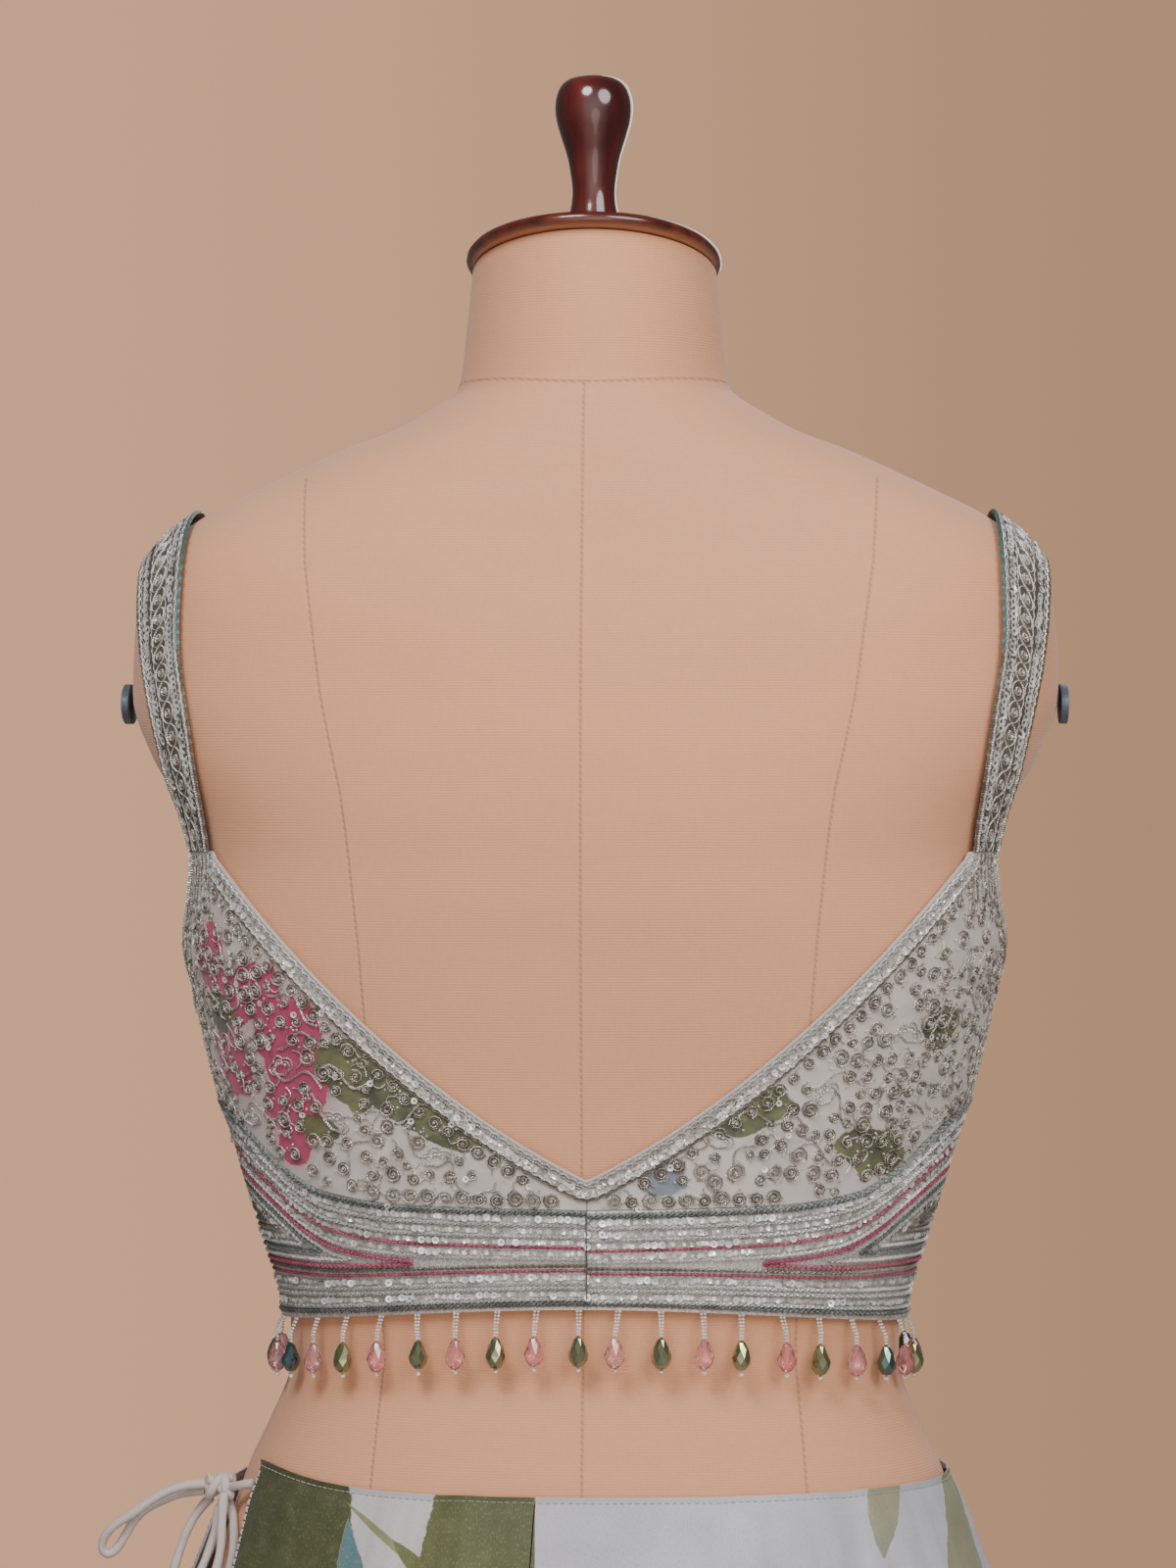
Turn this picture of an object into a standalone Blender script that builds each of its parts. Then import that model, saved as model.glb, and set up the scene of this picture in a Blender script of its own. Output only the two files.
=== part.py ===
"""Lehenga choli worn by a limbless dress form.

The choli is a short fitted bodice with a deep V back, wide-set straps, an under-bust band of
braid rows and a fringe of bead drops. The lehenga is a flared skirt of four panels with a slit
in its left seam, where the drawstring of its casing is tied in a bow.
Metres, +Z up. The wearer's back faces -Y and the wearer's left side is at -X.
"""
import math
from bisect import bisect_right
from collections import namedtuple

import bmesh
import bpy
from mathutils import Vector

# Cloth and seams
WALL = 0.0016
SEAM_GAP = 0.0003
CLOTH_CLEAR = 0.0012
BORDER_THICK = 0.0010
BRAID_RISE = 0.0012
BRAID_ROWS = 6

# Neckline, armhole and hem of the choli, heights on the form
BACK_NECK_POINT = 1.175
BACK_NECK_SLOPE = 0.492
BACK_NECK_CURVE = 2.37
FRONT_NECK_POINT = 1.250
FRONT_NECK_SLOPE = 0.392
FRONT_NECK_CURVE = 1.0
BACK_STRAP_SEAM = 1.307
FRONT_STRAP_SEAM = 1.330
UNDERARM = 1.268
BORDER_DROP = 0.015
HEM_CENTRE = 1.124
HEM_SIDE_DROP = 0.011

# Straps: a ray from the pivot line finds the form's surface
PIVOT_Y = -0.005
PIVOT_Z = 1.375
STRAP_STEPS = 22
STRAP_RISE = 0.0005
STRAP_RAY = 0.14
STRAP_BACK_TURNS_DEG = (180.0, 262.0)
STRAP_FRONT_TURNS_DEG = (0.0, -75.0)

# Bust of the form
BUST_X = 0.078
BUST_Z = 1.255
BUST_RISE = 0.040
BUST_WIDE = 0.060
BUST_ABOVE = 0.060
BUST_BELOW = 0.038
BUST_EASE = 0.11

# Skirt
SKIRT_TOP = 1.047
SKIRT_HEM = 0.022
SKIRT_STEPS = 22
BACK_SEAM_DEG = 262.0
FOLD_START = 0.12
FOLD_GROWTH = 1.15
FLAP_LIFT = 0.004
FLAP_CENTRE_DEG = 170.0
FLAP_WIDE_DEG = 22.0
FLAP_BELOW = 0.020
FLAP_TALL = 0.100
BACK_CORNER_RISE = 0.007
BACK_CORNER_DEG = 200.0
FRONT_CORNER_DROP = 0.008
FRONT_CORNER_DEG = 176.0
CORNER_WIDE_DEG = 23.0

# Bead drops on the choli's hem
DROP_COUNT = 42
FIRST_DROP = 0.18
DROP_EDGE_DEG = 0.9
STRIP_TALL = 0.0022
STRIP_THICK = 0.0012
STRIP_END_TURN = 0.0022
STRAND_HALF = 0.0012
HEM_RADIUS = 0.115

# Dress form, its cap, finial and stand
NECK_SEAM = 1.500
NECK_TOP = 1.5495
CAP_TILT_DEG = 13.0
CAP_HALF_WIDTH = 0.0535
CAP_HALF_DEPTH = 0.0575
CAP_THICK = 0.006
CAP_SIDES = 30
NECK_CENTRE_Y = -0.0065
FORM_FOOT = 0.820
FORM_INSET = 0.0007
ARM_HEIGHT = 1.368
ARM_PLATE_OFF = 0.0019
ARM_PLATE_HALF = (0.0085, 0.017)
ARM_PLATE_THICK = 0.0030
POLE_RADIUS = 0.0125
BASE_RADIUS = 0.180
BASE_TALL = 0.026

# Drawstring
CORD_DIAMETER = 0.0038
CORD_STEP = 2.9

Level = namedtuple("Level", "height half_width front back square")
BODY_LEVELS = (
    Level(0.820, 0.160, 0.092, 0.108, 2.2),
    Level(0.850, 0.170, 0.100, 0.120, 2.2),
    Level(0.890, 0.175, 0.105, 0.125, 2.2),
    Level(0.950, 0.170, 0.102, 0.114, 2.2),
    Level(1.000, 0.161, 0.098, 0.099, 2.2),
    Level(1.049, 0.146, 0.094, 0.090, 2.2),
    Level(1.066, 0.138, 0.090, 0.085, 2.2),
    Level(1.092, 0.1285, 0.085, 0.079, 2.2),
    Level(1.115, 0.1285, 0.086, 0.080, 2.25),
    Level(1.145, 0.1360, 0.090, 0.084, 2.3),
    Level(1.168, 0.1430, 0.092, 0.087, 2.35),
    Level(1.188, 0.1490, 0.093, 0.090, 2.4),
    Level(1.209, 0.1560, 0.094, 0.093, 2.4),
    Level(1.229, 0.1610, 0.095, 0.096, 2.45),
    Level(1.250, 0.1655, 0.096, 0.099, 2.5),
    Level(1.268, 0.1690, 0.096, 0.101, 2.5),
    Level(1.285, 0.1675, 0.096, 0.103, 2.5),
    Level(1.302, 0.1665, 0.095, 0.104, 2.5),
    Level(1.322, 0.1720, 0.093, 0.105, 2.5),
    Level(1.345, 0.1860, 0.090, 0.104, 2.4),
    Level(1.372, 0.1950, 0.085, 0.101, 2.3),
    Level(1.400, 0.1940, 0.076, 0.097, 2.25),
    Level(1.420, 0.1900, 0.068, 0.092, 2.2),
    Level(1.436, 0.1790, 0.061, 0.087, 2.15),
    Level(1.447, 0.1640, 0.056, 0.084, 2.1),
    Level(1.458, 0.1420, 0.053, 0.080, 2.1),
    Level(1.467, 0.1230, 0.051, 0.077, 2.1),
    Level(1.475, 0.1050, 0.050, 0.074, 2.05),
    Level(1.482, 0.0865, 0.049, 0.071, 2.0),
    Level(1.490, 0.0720, 0.048, 0.067, 2.0),
    Level(1.500, 0.0580, 0.047, 0.062, 2.0),
    Level(1.525, 0.0545, 0.046, 0.060, 2.0),
    Level(1.550, 0.0520, 0.045, 0.058, 2.0),
)
FORM_HEIGHTS = (FORM_FOOT, 0.855, 0.890, 0.950, 1.000, 1.045, 1.070, 1.100, 1.130, 1.165, 1.195, 1.220,
                1.242, 1.262, 1.282, 1.302, 1.322, 1.345, 1.372, 1.400, 1.420, 1.436, 1.447, 1.458,
                1.470, 1.482, 1.492, NECK_SEAM, NECK_TOP)

# Columns round the body, in degrees from the side (0) to the centre front or back (90)
QUARTER = (0, 6, 11, 15, 22.5, 30, 33.75, 37.5, 45, 52.5, 60, 67.5, 75, 82.5, 90)
BACK_STRAP_OUTER = 15
BACK_STRAP_MIDDLE = 22.5
BACK_STRAP_INNER = 30
FRONT_STRAP_OUTER = 30
FRONT_STRAP_MIDDLE = 33.75
FRONT_STRAP_INNER = 37.5
PRINCESS = 60

Edge = namedtuple("Edge", "from_side height")
BACK_ARMHOLE = (Edge(0, UNDERARM), Edge(6, 1.271), Edge(11, 1.281), Edge(15, BACK_STRAP_SEAM))
FRONT_ARMHOLE = (Edge(0, UNDERARM), Edge(6, 1.270), Edge(11, 1.275), Edge(15, 1.282),
                 Edge(22.5, 1.301), Edge(30, FRONT_STRAP_SEAM))
BAND_TOP = (Edge(0, 1.206), Edge(15, 1.203), Edge(22.5, 1.198), Edge(30, 1.189), Edge(37.5, 1.177),
            Edge(45, 1.169), Edge(60, 1.1645), Edge(90, 1.163))

Strap = namedtuple("Strap", "along inner outer")
STRAP_EDGES = (Strap(0.0, 0.1545, 0.1655), Strap(0.12, 0.1605, 0.1745), Strap(0.30, 0.1670, 0.1835),
               Strap(0.50, 0.1655, 0.1870), Strap(0.75, 0.1600, 0.1800), Strap(1.0, 0.1475, 0.1600))

Flare = namedtuple("Flare", "height half_width front back square")
SKIRT_LEVELS = (
    Flare(0.022, 0.500, 0.485, 0.485, 2.0),
    Flare(0.160, 0.462, 0.445, 0.447, 2.0),
    Flare(0.310, 0.415, 0.396, 0.400, 2.0),
    Flare(0.450, 0.370, 0.348, 0.354, 2.0),
    Flare(0.580, 0.326, 0.300, 0.308, 2.0),
    Flare(0.700, 0.284, 0.252, 0.262, 2.05),
    Flare(0.800, 0.248, 0.208, 0.220, 2.1),
    Flare(0.880, 0.217, 0.170, 0.182, 2.15),
    Flare(0.940, 0.192, 0.141, 0.151, 2.2),
    Flare(0.985, 0.173, 0.119, 0.126, 2.2),
    Flare(1.015, 0.1605, 0.105, 0.109, 2.2),
    Flare(1.036, 0.1525, 0.098, 0.098, 2.2),
    Flare(1.0475, 0.1467, 0.0943, 0.0908, 2.2),
    Flare(1.060, 0.1419, 0.0922, 0.0878, 2.2),
)
SKIRT_ROWS = (0.0, 0.011, 0.032, 0.062, 0.107, 0.167, 0.247, 0.347, 0.467, 0.597, 0.737, 0.887, 1.025)

Fold = namedtuple("Fold", "angle crest half_angle")
FOLDS = (
    Fold(0, 0.040, 12), Fold(23, 0.034, 10), Fold(43, 0.044, 11), Fold(66, 0.030, 10),
    Fold(90, 0.040, 12), Fold(112, 0.036, 9), Fold(133, 0.046, 12), Fold(156, 0.030, 10),
    Fold(180, 0.040, 12), Fold(201, 0.034, 9), Fold(224, 0.046, 13), Fold(248, 0.032, 10),
    Fold(270, 0.040, 11), Fold(291, 0.036, 10), Fold(314, 0.046, 12), Fold(338, 0.032, 10),
)

Slit = namedtuple("Slit", "below back_edge front_edge")
SLIT = (Slit(0.0, 22.5, 3.0), Slit(0.020, 25.5, 3.0), Slit(0.045, 28.0, 3.5), Slit(0.090, 22.0, 3.0),
        Slit(0.140, 9.0, 1.5), Slit(0.175, 0.0, 0.0), Slit(1.1, 0.0, 0.0))

Bead = namedtuple("Bead", "below half_size off_form")
BEAD_RINGS = (Bead(0.0115, 0.0011, 0.0048), Bead(0.0160, 0.0033, 0.0064), Bead(0.0205, 0.0039, 0.0068),
              Bead(0.0262, 0.0009, 0.0068))

# Routes of the drawstring's pieces, in millimetres, chosen by hand: x, y, z
KNOT_CENTRE = (-155.1, -26.0, 1041.7)
KNOT_HALF = (6.5, 5.5, 6.0)
LEAD_BACK = ((-139.9, -37.8, 1044.7), (-143.4, -36.2, 1044.0), (-146.3, -34.0, 1043.2),
             (-150.1, -29.6, 1042.2))
LEAD_FRONT = ((-156.6, 4.8, 1036.2), (-156.8, -2.5, 1036.8), (-156.6, -9.0, 1037.9),
              (-156.2, -15.0, 1039.2), (-155.7, -20.7, 1040.6))
LOOP_LEFT = ((-161.8, -28.3, 1043.0), (-168.8, -29.5, 1042.5), (-177.5, -30.0, 1039.7),
             (-184.9, -30.0, 1035.3), (-191.0, -29.5, 1030.8), (-198.4, -28.5, 1026.0),
             (-203.1, -27.0, 1021.0), (-204.7, -25.5, 1015.5), (-202.3, -24.5, 1012.9),
             (-198.2, -24.0, 1015.9), (-194.7, -23.8, 1021.6), (-190.4, -23.6, 1028.2),
             (-182.5, -23.6, 1034.0), (-171.2, -23.8, 1038.4), (-162.0, -24.4, 1039.6))
LOOP_HANGING = ((-153.0, -32.6, 1039.5), (-153.2, -34.9, 1033.0), (-153.4, -36.5, 1026.0),
                (-153.6, -38.8, 1018.0), (-155.5, -43.0, 1008.0), (-161.5, -48.0, 995.0),
                (-169.5, -52.5, 979.0), (-176.0, -56.0, 963.0), (-180.6, -57.5, 951.5),
                (-184.0, -57.0, 945.5), (-187.0, -53.5, 945.8), (-186.8, -50.0, 951.0),
                (-183.0, -47.0, 961.0), (-176.0, -43.0, 977.0), (-168.5, -39.0, 993.0),
                (-162.0, -35.8, 1008.5), (-158.2, -32.6, 1018.5), (-156.2, -30.2, 1026.5),
                (-155.6, -28.6, 1033.6))
TAIL_LEFT = ((-159.4, -22.3, 1036.6), (-163.0, -21.8, 1033.0), (-166.8, -21.8, 1027.6),
             (-170.4, -22.0, 1020.5), (-172.3, -22.0, 1014.9), (-174.6, -22.0, 1008.0),
             (-178.6, -22.0, 992.0), (-185.6, -22.0, 966.0), (-196.0, -22.0, 940.0),
             (-208.6, -22.5, 910.0), (-221.0, -23.0, 880.0), (-237.0, -23.5, 840.0),
             (-251.0, -24.0, 805.0))
TAIL_BACK = ((-151.4, -25.0, 1034.8), (-149.0, -32.0, 1028.0), (-148.0, -39.5, 1020.0),
             (-149.2, -45.0, 1009.0), (-152.5, -46.5, 996.0), (-158.0, -46.0, 978.0),
             (-164.5, -45.0, 956.0), (-170.0, -44.0, 930.0), (-173.5, -43.0, 900.0),
             (-175.0, -42.0, 865.0), (-175.5, -42.0, 825.0))


class Curve:
    """A smooth, never overshooting curve through one column of a table."""

    def __init__(self, table, column):
        self.xs = [row[0] for row in table]
        self.ys = [getattr(row, column) for row in table]
        if self.xs[0] > self.xs[-1]:
            self.xs.reverse()
            self.ys.reverse()
        steps = [b - a for a, b in zip(self.xs, self.xs[1:])]
        rises = [(b - a) / h for a, b, h in zip(self.ys, self.ys[1:], steps)]
        self.slopes = [rises[0]]
        for before, after in zip(rises, rises[1:]):
            same_way = before * after > 0
            self.slopes.append(2 * before * after / (before + after) if same_way else 0.0)
        self.slopes.append(rises[-1])

    def __call__(self, x):
        x = min(max(x, self.xs[0]), self.xs[-1])
        i = min(bisect_right(self.xs, x) - 1, len(self.xs) - 2)
        h = self.xs[i + 1] - self.xs[i]
        t = (x - self.xs[i]) / h
        start = (1 + 2 * t) * (1 - t) ** 2 * self.ys[i] + t * (1 - t) ** 2 * h * self.slopes[i]
        end = t * t * (3 - 2 * t) * self.ys[i + 1] + t * t * (t - 1) * h * self.slopes[i + 1]
        return start + end


def curves(table):
    """One smooth curve for each column of a table after its first."""
    return {name: Curve(table, name) for name in table[0]._fields[1:]}


BODY = curves(BODY_LEVELS)
SKIRT = curves(SKIRT_LEVELS)
STRAP = curves(STRAP_EDGES)
SLIT_EDGE = curves(SLIT)
BACK_ARMHOLE_EDGE = Curve(BACK_ARMHOLE, "height")
FRONT_ARMHOLE_EDGE = Curve(FRONT_ARMHOLE, "height")
BAND_TOP_EDGE = Curve(BAND_TOP, "height")


def bust(x, z):
    """How far the bust stands out in front of the chest."""
    tall = BUST_ABOVE if z > BUST_Z else BUST_BELOW
    upright = math.exp(-((z - BUST_Z) / tall) ** 2)
    sides = sum(math.exp(-((x - centre) / BUST_WIDE) ** 2) for centre in (-BUST_X, BUST_X))
    return BUST_RISE * upright * sides


def oval(angle, half_width, front, back, square):
    """A point of a rounded section, front at 90 degrees and back at 270, and its front share."""
    c = math.cos(angle)
    s = math.sin(angle)
    reach = (abs(c) ** square + abs(s) ** square) ** (-1 / square)
    depth = front if s > 0 else back
    return half_width * reach * c, depth * reach * s, reach * max(s, 0.0)


def body_point(angle, z):
    level = {name: curve(z) for name, curve in BODY.items()}
    x, y, front_share = oval(angle, **level)
    return Vector((x, y + front_share * bust(x, z), z))


def body_gauge(point):
    """Below zero inside the form, above zero outside it."""
    x, y, z = point
    depth = BODY["front"](z) + bust(x, z) if y > 0 else BODY["back"](z)
    square = BODY["square"](z)
    return (abs(x) / BODY["half_width"](z)) ** square + (abs(y) / depth) ** square - 1


def body_normal(point):
    step = 0.0006
    slope = []
    for axis in range(3):
        shift = Vector((0, 0, 0))
        shift[axis] = step
        slope.append(body_gauge(point + shift) - body_gauge(point - shift))
    return Vector(slope).normalized()


def on_body(angle, z, off):
    point = body_point(angle, z)
    return point + body_normal(point) * off


def from_side(angle):
    """Degrees from the nearer side of the body, 0 to 90."""
    turn = math.degrees(angle) % 180
    return min(turn, 180 - turn)


def at_front(angle):
    return math.sin(angle) > 0


def neck_height(angle, point_z, slope, bend):
    """Height of the neckline on one column, where the V crosses it."""
    z = point_z
    for _ in range(12):
        x = abs(body_point(angle, z).x)
        z = point_z + slope * x + bend * x * x
    return z


def bodice_top(angle):
    side = from_side(angle)
    if at_front(angle):
        if side <= FRONT_STRAP_OUTER:
            return FRONT_ARMHOLE_EDGE(side)
        if side <= FRONT_STRAP_INNER:
            return FRONT_STRAP_SEAM
        return min(FRONT_STRAP_SEAM, neck_height(angle, FRONT_NECK_POINT, FRONT_NECK_SLOPE, FRONT_NECK_CURVE))
    if side <= BACK_STRAP_OUTER:
        return BACK_ARMHOLE_EDGE(side)
    if side <= BACK_STRAP_INNER:
        return BACK_STRAP_SEAM
    return min(BACK_STRAP_SEAM, neck_height(angle, BACK_NECK_POINT, BACK_NECK_SLOPE, BACK_NECK_CURVE))


def band_top(angle):
    return BAND_TOP_EDGE(from_side(angle))


def hem_height(angle):
    return HEM_CENTRE - HEM_SIDE_DROP * math.cos(math.radians(from_side(angle))) ** 2


def columns(start, end, radius=0.15):
    """Column angles from start to end in degrees, each end half a seam gap short."""
    ring = sorted({turn for q in QUARTER for turn in (q, 180 - q, 180 + q, 360 - q, 360 + q)})
    inner = [math.radians(turn) for turn in ring if start < turn < end]
    trim = SEAM_GAP * 0.55 / radius
    return [math.radians(start) + trim, *inner, math.radians(end) - trim]


def finish(name, colour, roughness, metallic=0.0):
    material = bpy.data.materials.new(name)
    material.use_nodes = True
    shader = material.node_tree.nodes["Principled BSDF"]
    shader.inputs["Base Color"].default_value = (*colour, 1.0)
    shader.inputs["Roughness"].default_value = roughness
    shader.inputs["Metallic"].default_value = metallic
    return material


def add_object(name, bm, material, smooth_deg=40):
    """Close a mesh into an object with its faces pointing out."""
    bmesh.ops.recalc_face_normals(bm, faces=bm.faces)
    mesh = bpy.data.meshes.new(name)
    bm.to_mesh(mesh)
    bm.free()
    mesh.materials.append(material)
    mesh.shade_smooth()
    mesh.set_sharp_from_angle(angle=math.radians(smooth_deg))
    made = bpy.data.objects.new(name, mesh)
    bpy.context.scene.collection.objects.link(made)
    return made


def skin(bm, grid, closed=False):
    """Join a grid of columns with triangles whose diagonals all run one way."""
    verts = [[bm.verts.new(point) for point in column] for column in grid]
    pairs = list(zip(verts, verts[1:]))
    if closed:
        pairs.append((verts[-1], verts[0]))
    for left, right in pairs:
        for row in range(len(left) - 1):
            bm.faces.new((left[row], left[row + 1], right[row + 1]))
            bm.faces.new((left[row], right[row + 1], right[row]))
    return verts


def wall(name, outside, inside, material):
    """A cloth wall between two grids with the same number of columns."""
    bm = bmesh.new()
    outer = skin(bm, outside)
    inner = skin(bm, inside)
    for row in (0, -1):
        for i in range(len(outer) - 1):
            bm.faces.new((outer[i][row], outer[i + 1][row], inner[i + 1][row]))
            bm.faces.new((outer[i][row], inner[i + 1][row], inner[i][row]))
    for column in (0, -1):
        if len(outer[column]) == len(inner[column]):
            for row in range(len(outer[column]) - 1):
                bm.faces.new((outer[column][row], outer[column][row + 1], inner[column][row + 1]))
                bm.faces.new((outer[column][row], inner[column][row + 1], inner[column][row]))
        else:
            side = bm.faces.new(outer[column] + inner[column][::-1])
            bmesh.ops.triangulate(bm, faces=[side])
    return add_object(name, bm, material)


def body_grid(angles, top, bottom, shares, off):
    """Points on the form between two edges; off is a height above the form, or gives one by share."""
    lift = off if callable(off) else (lambda share: off)
    grid = []
    for angle in angles:
        high = top(angle)
        low = bottom(angle)
        grid.append([on_body(angle, high + (low - high) * share, lift(share)) for share in shares])
    return grid


# Choli

BODICE_SHARES = (0.0, 0.2, 0.4, 0.6, 0.8, 1.0)


def bodice_column_heights(angle):
    """Rows of one bodice column: the top edge, the foot of the border, then even rows."""
    high = bodice_top(angle)
    low = band_top(angle) + SEAM_GAP / 2
    foot = max(high - BORDER_DROP, low + 0.0035)
    high = max(high, foot + 0.004)
    return [high] + [foot + (low - foot) * share for share in BODICE_SHARES]


def bodice_panel(name, start, end, material):
    angles = columns(start, end)
    heights = [bodice_column_heights(angle) for angle in angles]
    grids = []
    for off in (CLOTH_CLEAR + WALL, CLOTH_CLEAR):
        grids.append([[on_body(a, z, off) for z in zs] for a, zs in zip(angles, heights)])
    return wall(name, grids[0], grids[1], material)


def edge_border(name, start, end, material):
    """Braid trim on the top edge, made from the panel's own points and moved out."""
    angles = columns(start, end)
    low = CLOTH_CLEAR + WALL + SEAM_GAP
    grids = []
    for off in (low + BORDER_THICK, low):
        grids.append([[on_body(a, z, off) for z in bodice_column_heights(a)[:2]] for a in angles])
    return wall(name, grids[0], grids[1], material)


def band_panel(name, start, end, material):
    """Under-bust band whose outer face is ridged by its rows of braid."""
    angles = columns(start, end)
    ridges = 2 * BRAID_ROWS
    shares = [i / ridges for i in range(ridges + 1)]

    def top(angle):
        return band_top(angle) - SEAM_GAP / 2

    def ridge(share):
        crest = round(share * ridges) % 2
        return CLOTH_CLEAR + WALL + BRAID_RISE * crest

    outside = body_grid(angles, top, hem_height, shares, ridge)
    inside = body_grid(angles, top, hem_height, (0.0, 0.5, 1.0), CLOTH_CLEAR)
    return wall(name, outside, inside, material)


def strap_hit(x, turn):
    """Where a ray from the pivot line, in a plane of constant x, leaves the form."""
    low = 0.0
    high = STRAP_RAY
    for _ in range(36):
        middle = (low + high) / 2
        point = Vector((x, PIVOT_Y + middle * math.cos(turn), PIVOT_Z + middle * math.sin(turn)))
        if body_gauge(point) < 0:
            low = middle
        else:
            high = middle
    return point


def strap_end_turn(x, level_deg, down_deg, seam):
    """The ray's turn at which a strap reaches the height of its seam."""
    for _ in range(30):
        middle = (level_deg + down_deg) / 2
        if strap_hit(x, math.radians(middle)).z > seam:
            level_deg = middle
        else:
            down_deg = middle
    return math.radians(middle)


def strap_line(across, side, offs):
    """One lengthwise line of a strap at each height off the form, from its back seam to its front seam."""
    inner = STRAP["inner"]
    outer = STRAP["outer"]

    def x_at(along):
        return inner(along) + (outer(along) - inner(along)) * across

    back = strap_end_turn(x_at(0), *STRAP_BACK_TURNS_DEG, BACK_STRAP_SEAM + SEAM_GAP)
    front = strap_end_turn(x_at(1), *STRAP_FRONT_TURNS_DEG, FRONT_STRAP_SEAM + SEAM_GAP)
    lines = [[] for _ in offs]
    for i in range(STRAP_STEPS + 1):
        along = i / STRAP_STEPS
        point = strap_hit(x_at(along), back + (front - back) * along)
        out = body_normal(point)
        for line, off in zip(lines, offs):
            moved = point + out * off
            line.append(Vector((moved.x * side, moved.y, moved.z)))
    return lines


def strap(name, side, material):
    """Shoulder strap with a raised centre row, one seam gap clear of the bodice at both ends."""
    outside = []
    inside = []
    for i, rise in enumerate((0.0, STRAP_RISE, STRAP_RISE, 0.0)):
        outer, inner = strap_line(i / 3, side, (CLOTH_CLEAR + WALL + rise, CLOTH_CLEAR))
        outside.append(outer)
        inside.append(inner)
    return wall(name, outside, inside, material)


def hem_length_table(steps=720):
    """Arc length along the hem against angle, from the centre back, round by the left side."""
    table = [(0.0, math.radians(270))]
    before = on_body(math.radians(270), hem_height(math.radians(270)), CLOTH_CLEAR)
    for i in range(1, steps + 1):
        angle = math.radians(270 - 360 * i / steps)
        point = on_body(angle, hem_height(angle), CLOTH_CLEAR)
        table.append((table[-1][0] + (point - before).length, angle))
        before = point
    return table


def drop_angles():
    """Angles of the bead drops, evenly spaced along the hem."""
    table = hem_length_table()
    total = table[-1][0]
    angles = []
    for k in range(DROP_COUNT):
        wanted = (k + FIRST_DROP) * total / DROP_COUNT
        angles.append(next(angle for length, angle in table if length >= wanted) % (2 * math.pi))
    return angles


def bead_fringe(name, start, end, drops, material):
    """A narrow strip under the hem with the bead drops fused into its lower face."""
    trim = math.radians(DROP_EDGE_DEG)
    half_turn = STRAND_HALF / HEM_RADIUS
    low = math.radians(start) + STRIP_END_TURN
    high = math.radians(end) - STRIP_END_TURN
    mine = sorted(a + turn for a in drops for turn in (0, 2 * math.pi) if low + trim < a + turn < high - trim)
    angles = [low]
    roots = set()
    for angle in mine:
        roots.add(len(angles))
        angles += [angle - half_turn, angle + half_turn]
    angles.append(high)
    bm = bmesh.new()
    off_inner = CLOTH_CLEAR + 0.0004
    off_outer = off_inner + STRIP_THICK
    rings = []
    for angle in angles:
        top = hem_height(angle) - SEAM_GAP
        foot = top - STRIP_TALL
        corners = ((top, off_outer), (foot, off_outer), (foot, off_inner), (top, off_inner))
        rings.append([bm.verts.new(on_body(angle, z, off)) for z, off in corners])
    for i in range(len(rings) - 1):
        for k in range(4):
            if i in roots and k == 1:
                continue
            bm.faces.new((rings[i][k], rings[i][(k + 1) % 4], rings[i + 1][(k + 1) % 4], rings[i + 1][k]))
    bm.faces.new(rings[0])
    bm.faces.new(rings[-1])
    for i in sorted(roots):
        angle = (angles[i] + angles[i + 1]) / 2
        before = [rings[i][1], rings[i + 1][1], rings[i + 1][2], rings[i][2]]
        for bead in BEAD_RINGS:
            z = hem_height(angle) - bead.below
            centre = on_body(angle, z, bead.off_form)
            out = body_normal(body_point(angle, z))
            out.z = 0
            out.normalize()
            along = Vector((-out.y, out.x, 0))
            # The corners follow the root's order: outer left, outer right, inner right, inner left
            steps = ((1, -1), (1, 1), (-1, 1), (-1, -1))
            now = [bm.verts.new(centre + (out * o + along * t) * bead.half_size) for o, t in steps]
            for k in range(4):
                bm.faces.new((before[k], before[(k + 1) % 4], now[(k + 1) % 4], now[k]))
            before = now
        bm.faces.new(before)
    return add_object(name, bm, material, 30)


# Lehenga

def skirt_point(angle, z):
    """A point of the skirt's inner face, with its folds growing towards the hem."""
    level = {key: curve(z) for key, curve in SKIRT.items()}
    x, y, _ = oval(angle, **level)
    below = (SKIRT_TOP - z - FOLD_START) / (SKIRT_TOP - SKIRT_HEM - FOLD_START)
    grow = max(below, 0.0) ** FOLD_GROWTH
    rise = 0.0
    for fold in FOLDS:
        turn = abs((math.degrees(angle) - fold.angle + 180) % 360 - 180)
        if turn < fold.half_angle:
            rise += fold.crest * 0.5 * (1 + math.cos(math.pi * turn / fold.half_angle))
    flap_turn = (math.degrees(angle) - FLAP_CENTRE_DEG) / FLAP_WIDE_DEG
    flap_down = (SKIRT_TOP - FLAP_BELOW - z) / FLAP_TALL
    in_front = math.degrees(angle) % 360 < 183
    lift = FLAP_LIFT * math.exp(-flap_turn ** 2 - flap_down ** 2) if in_front else 0.0
    outward = Vector((math.cos(angle), math.sin(angle), 0))
    return Vector((x, y, z)) + outward * (grow * rise + lift)


def skirt_normal(angle, z):
    turn = 0.002
    rise = 0.002
    along = skirt_point(angle + turn, z) - skirt_point(angle - turn, z)
    up = skirt_point(angle, z + rise) - skirt_point(angle, z - rise)
    return along.cross(up).normalized()


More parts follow.
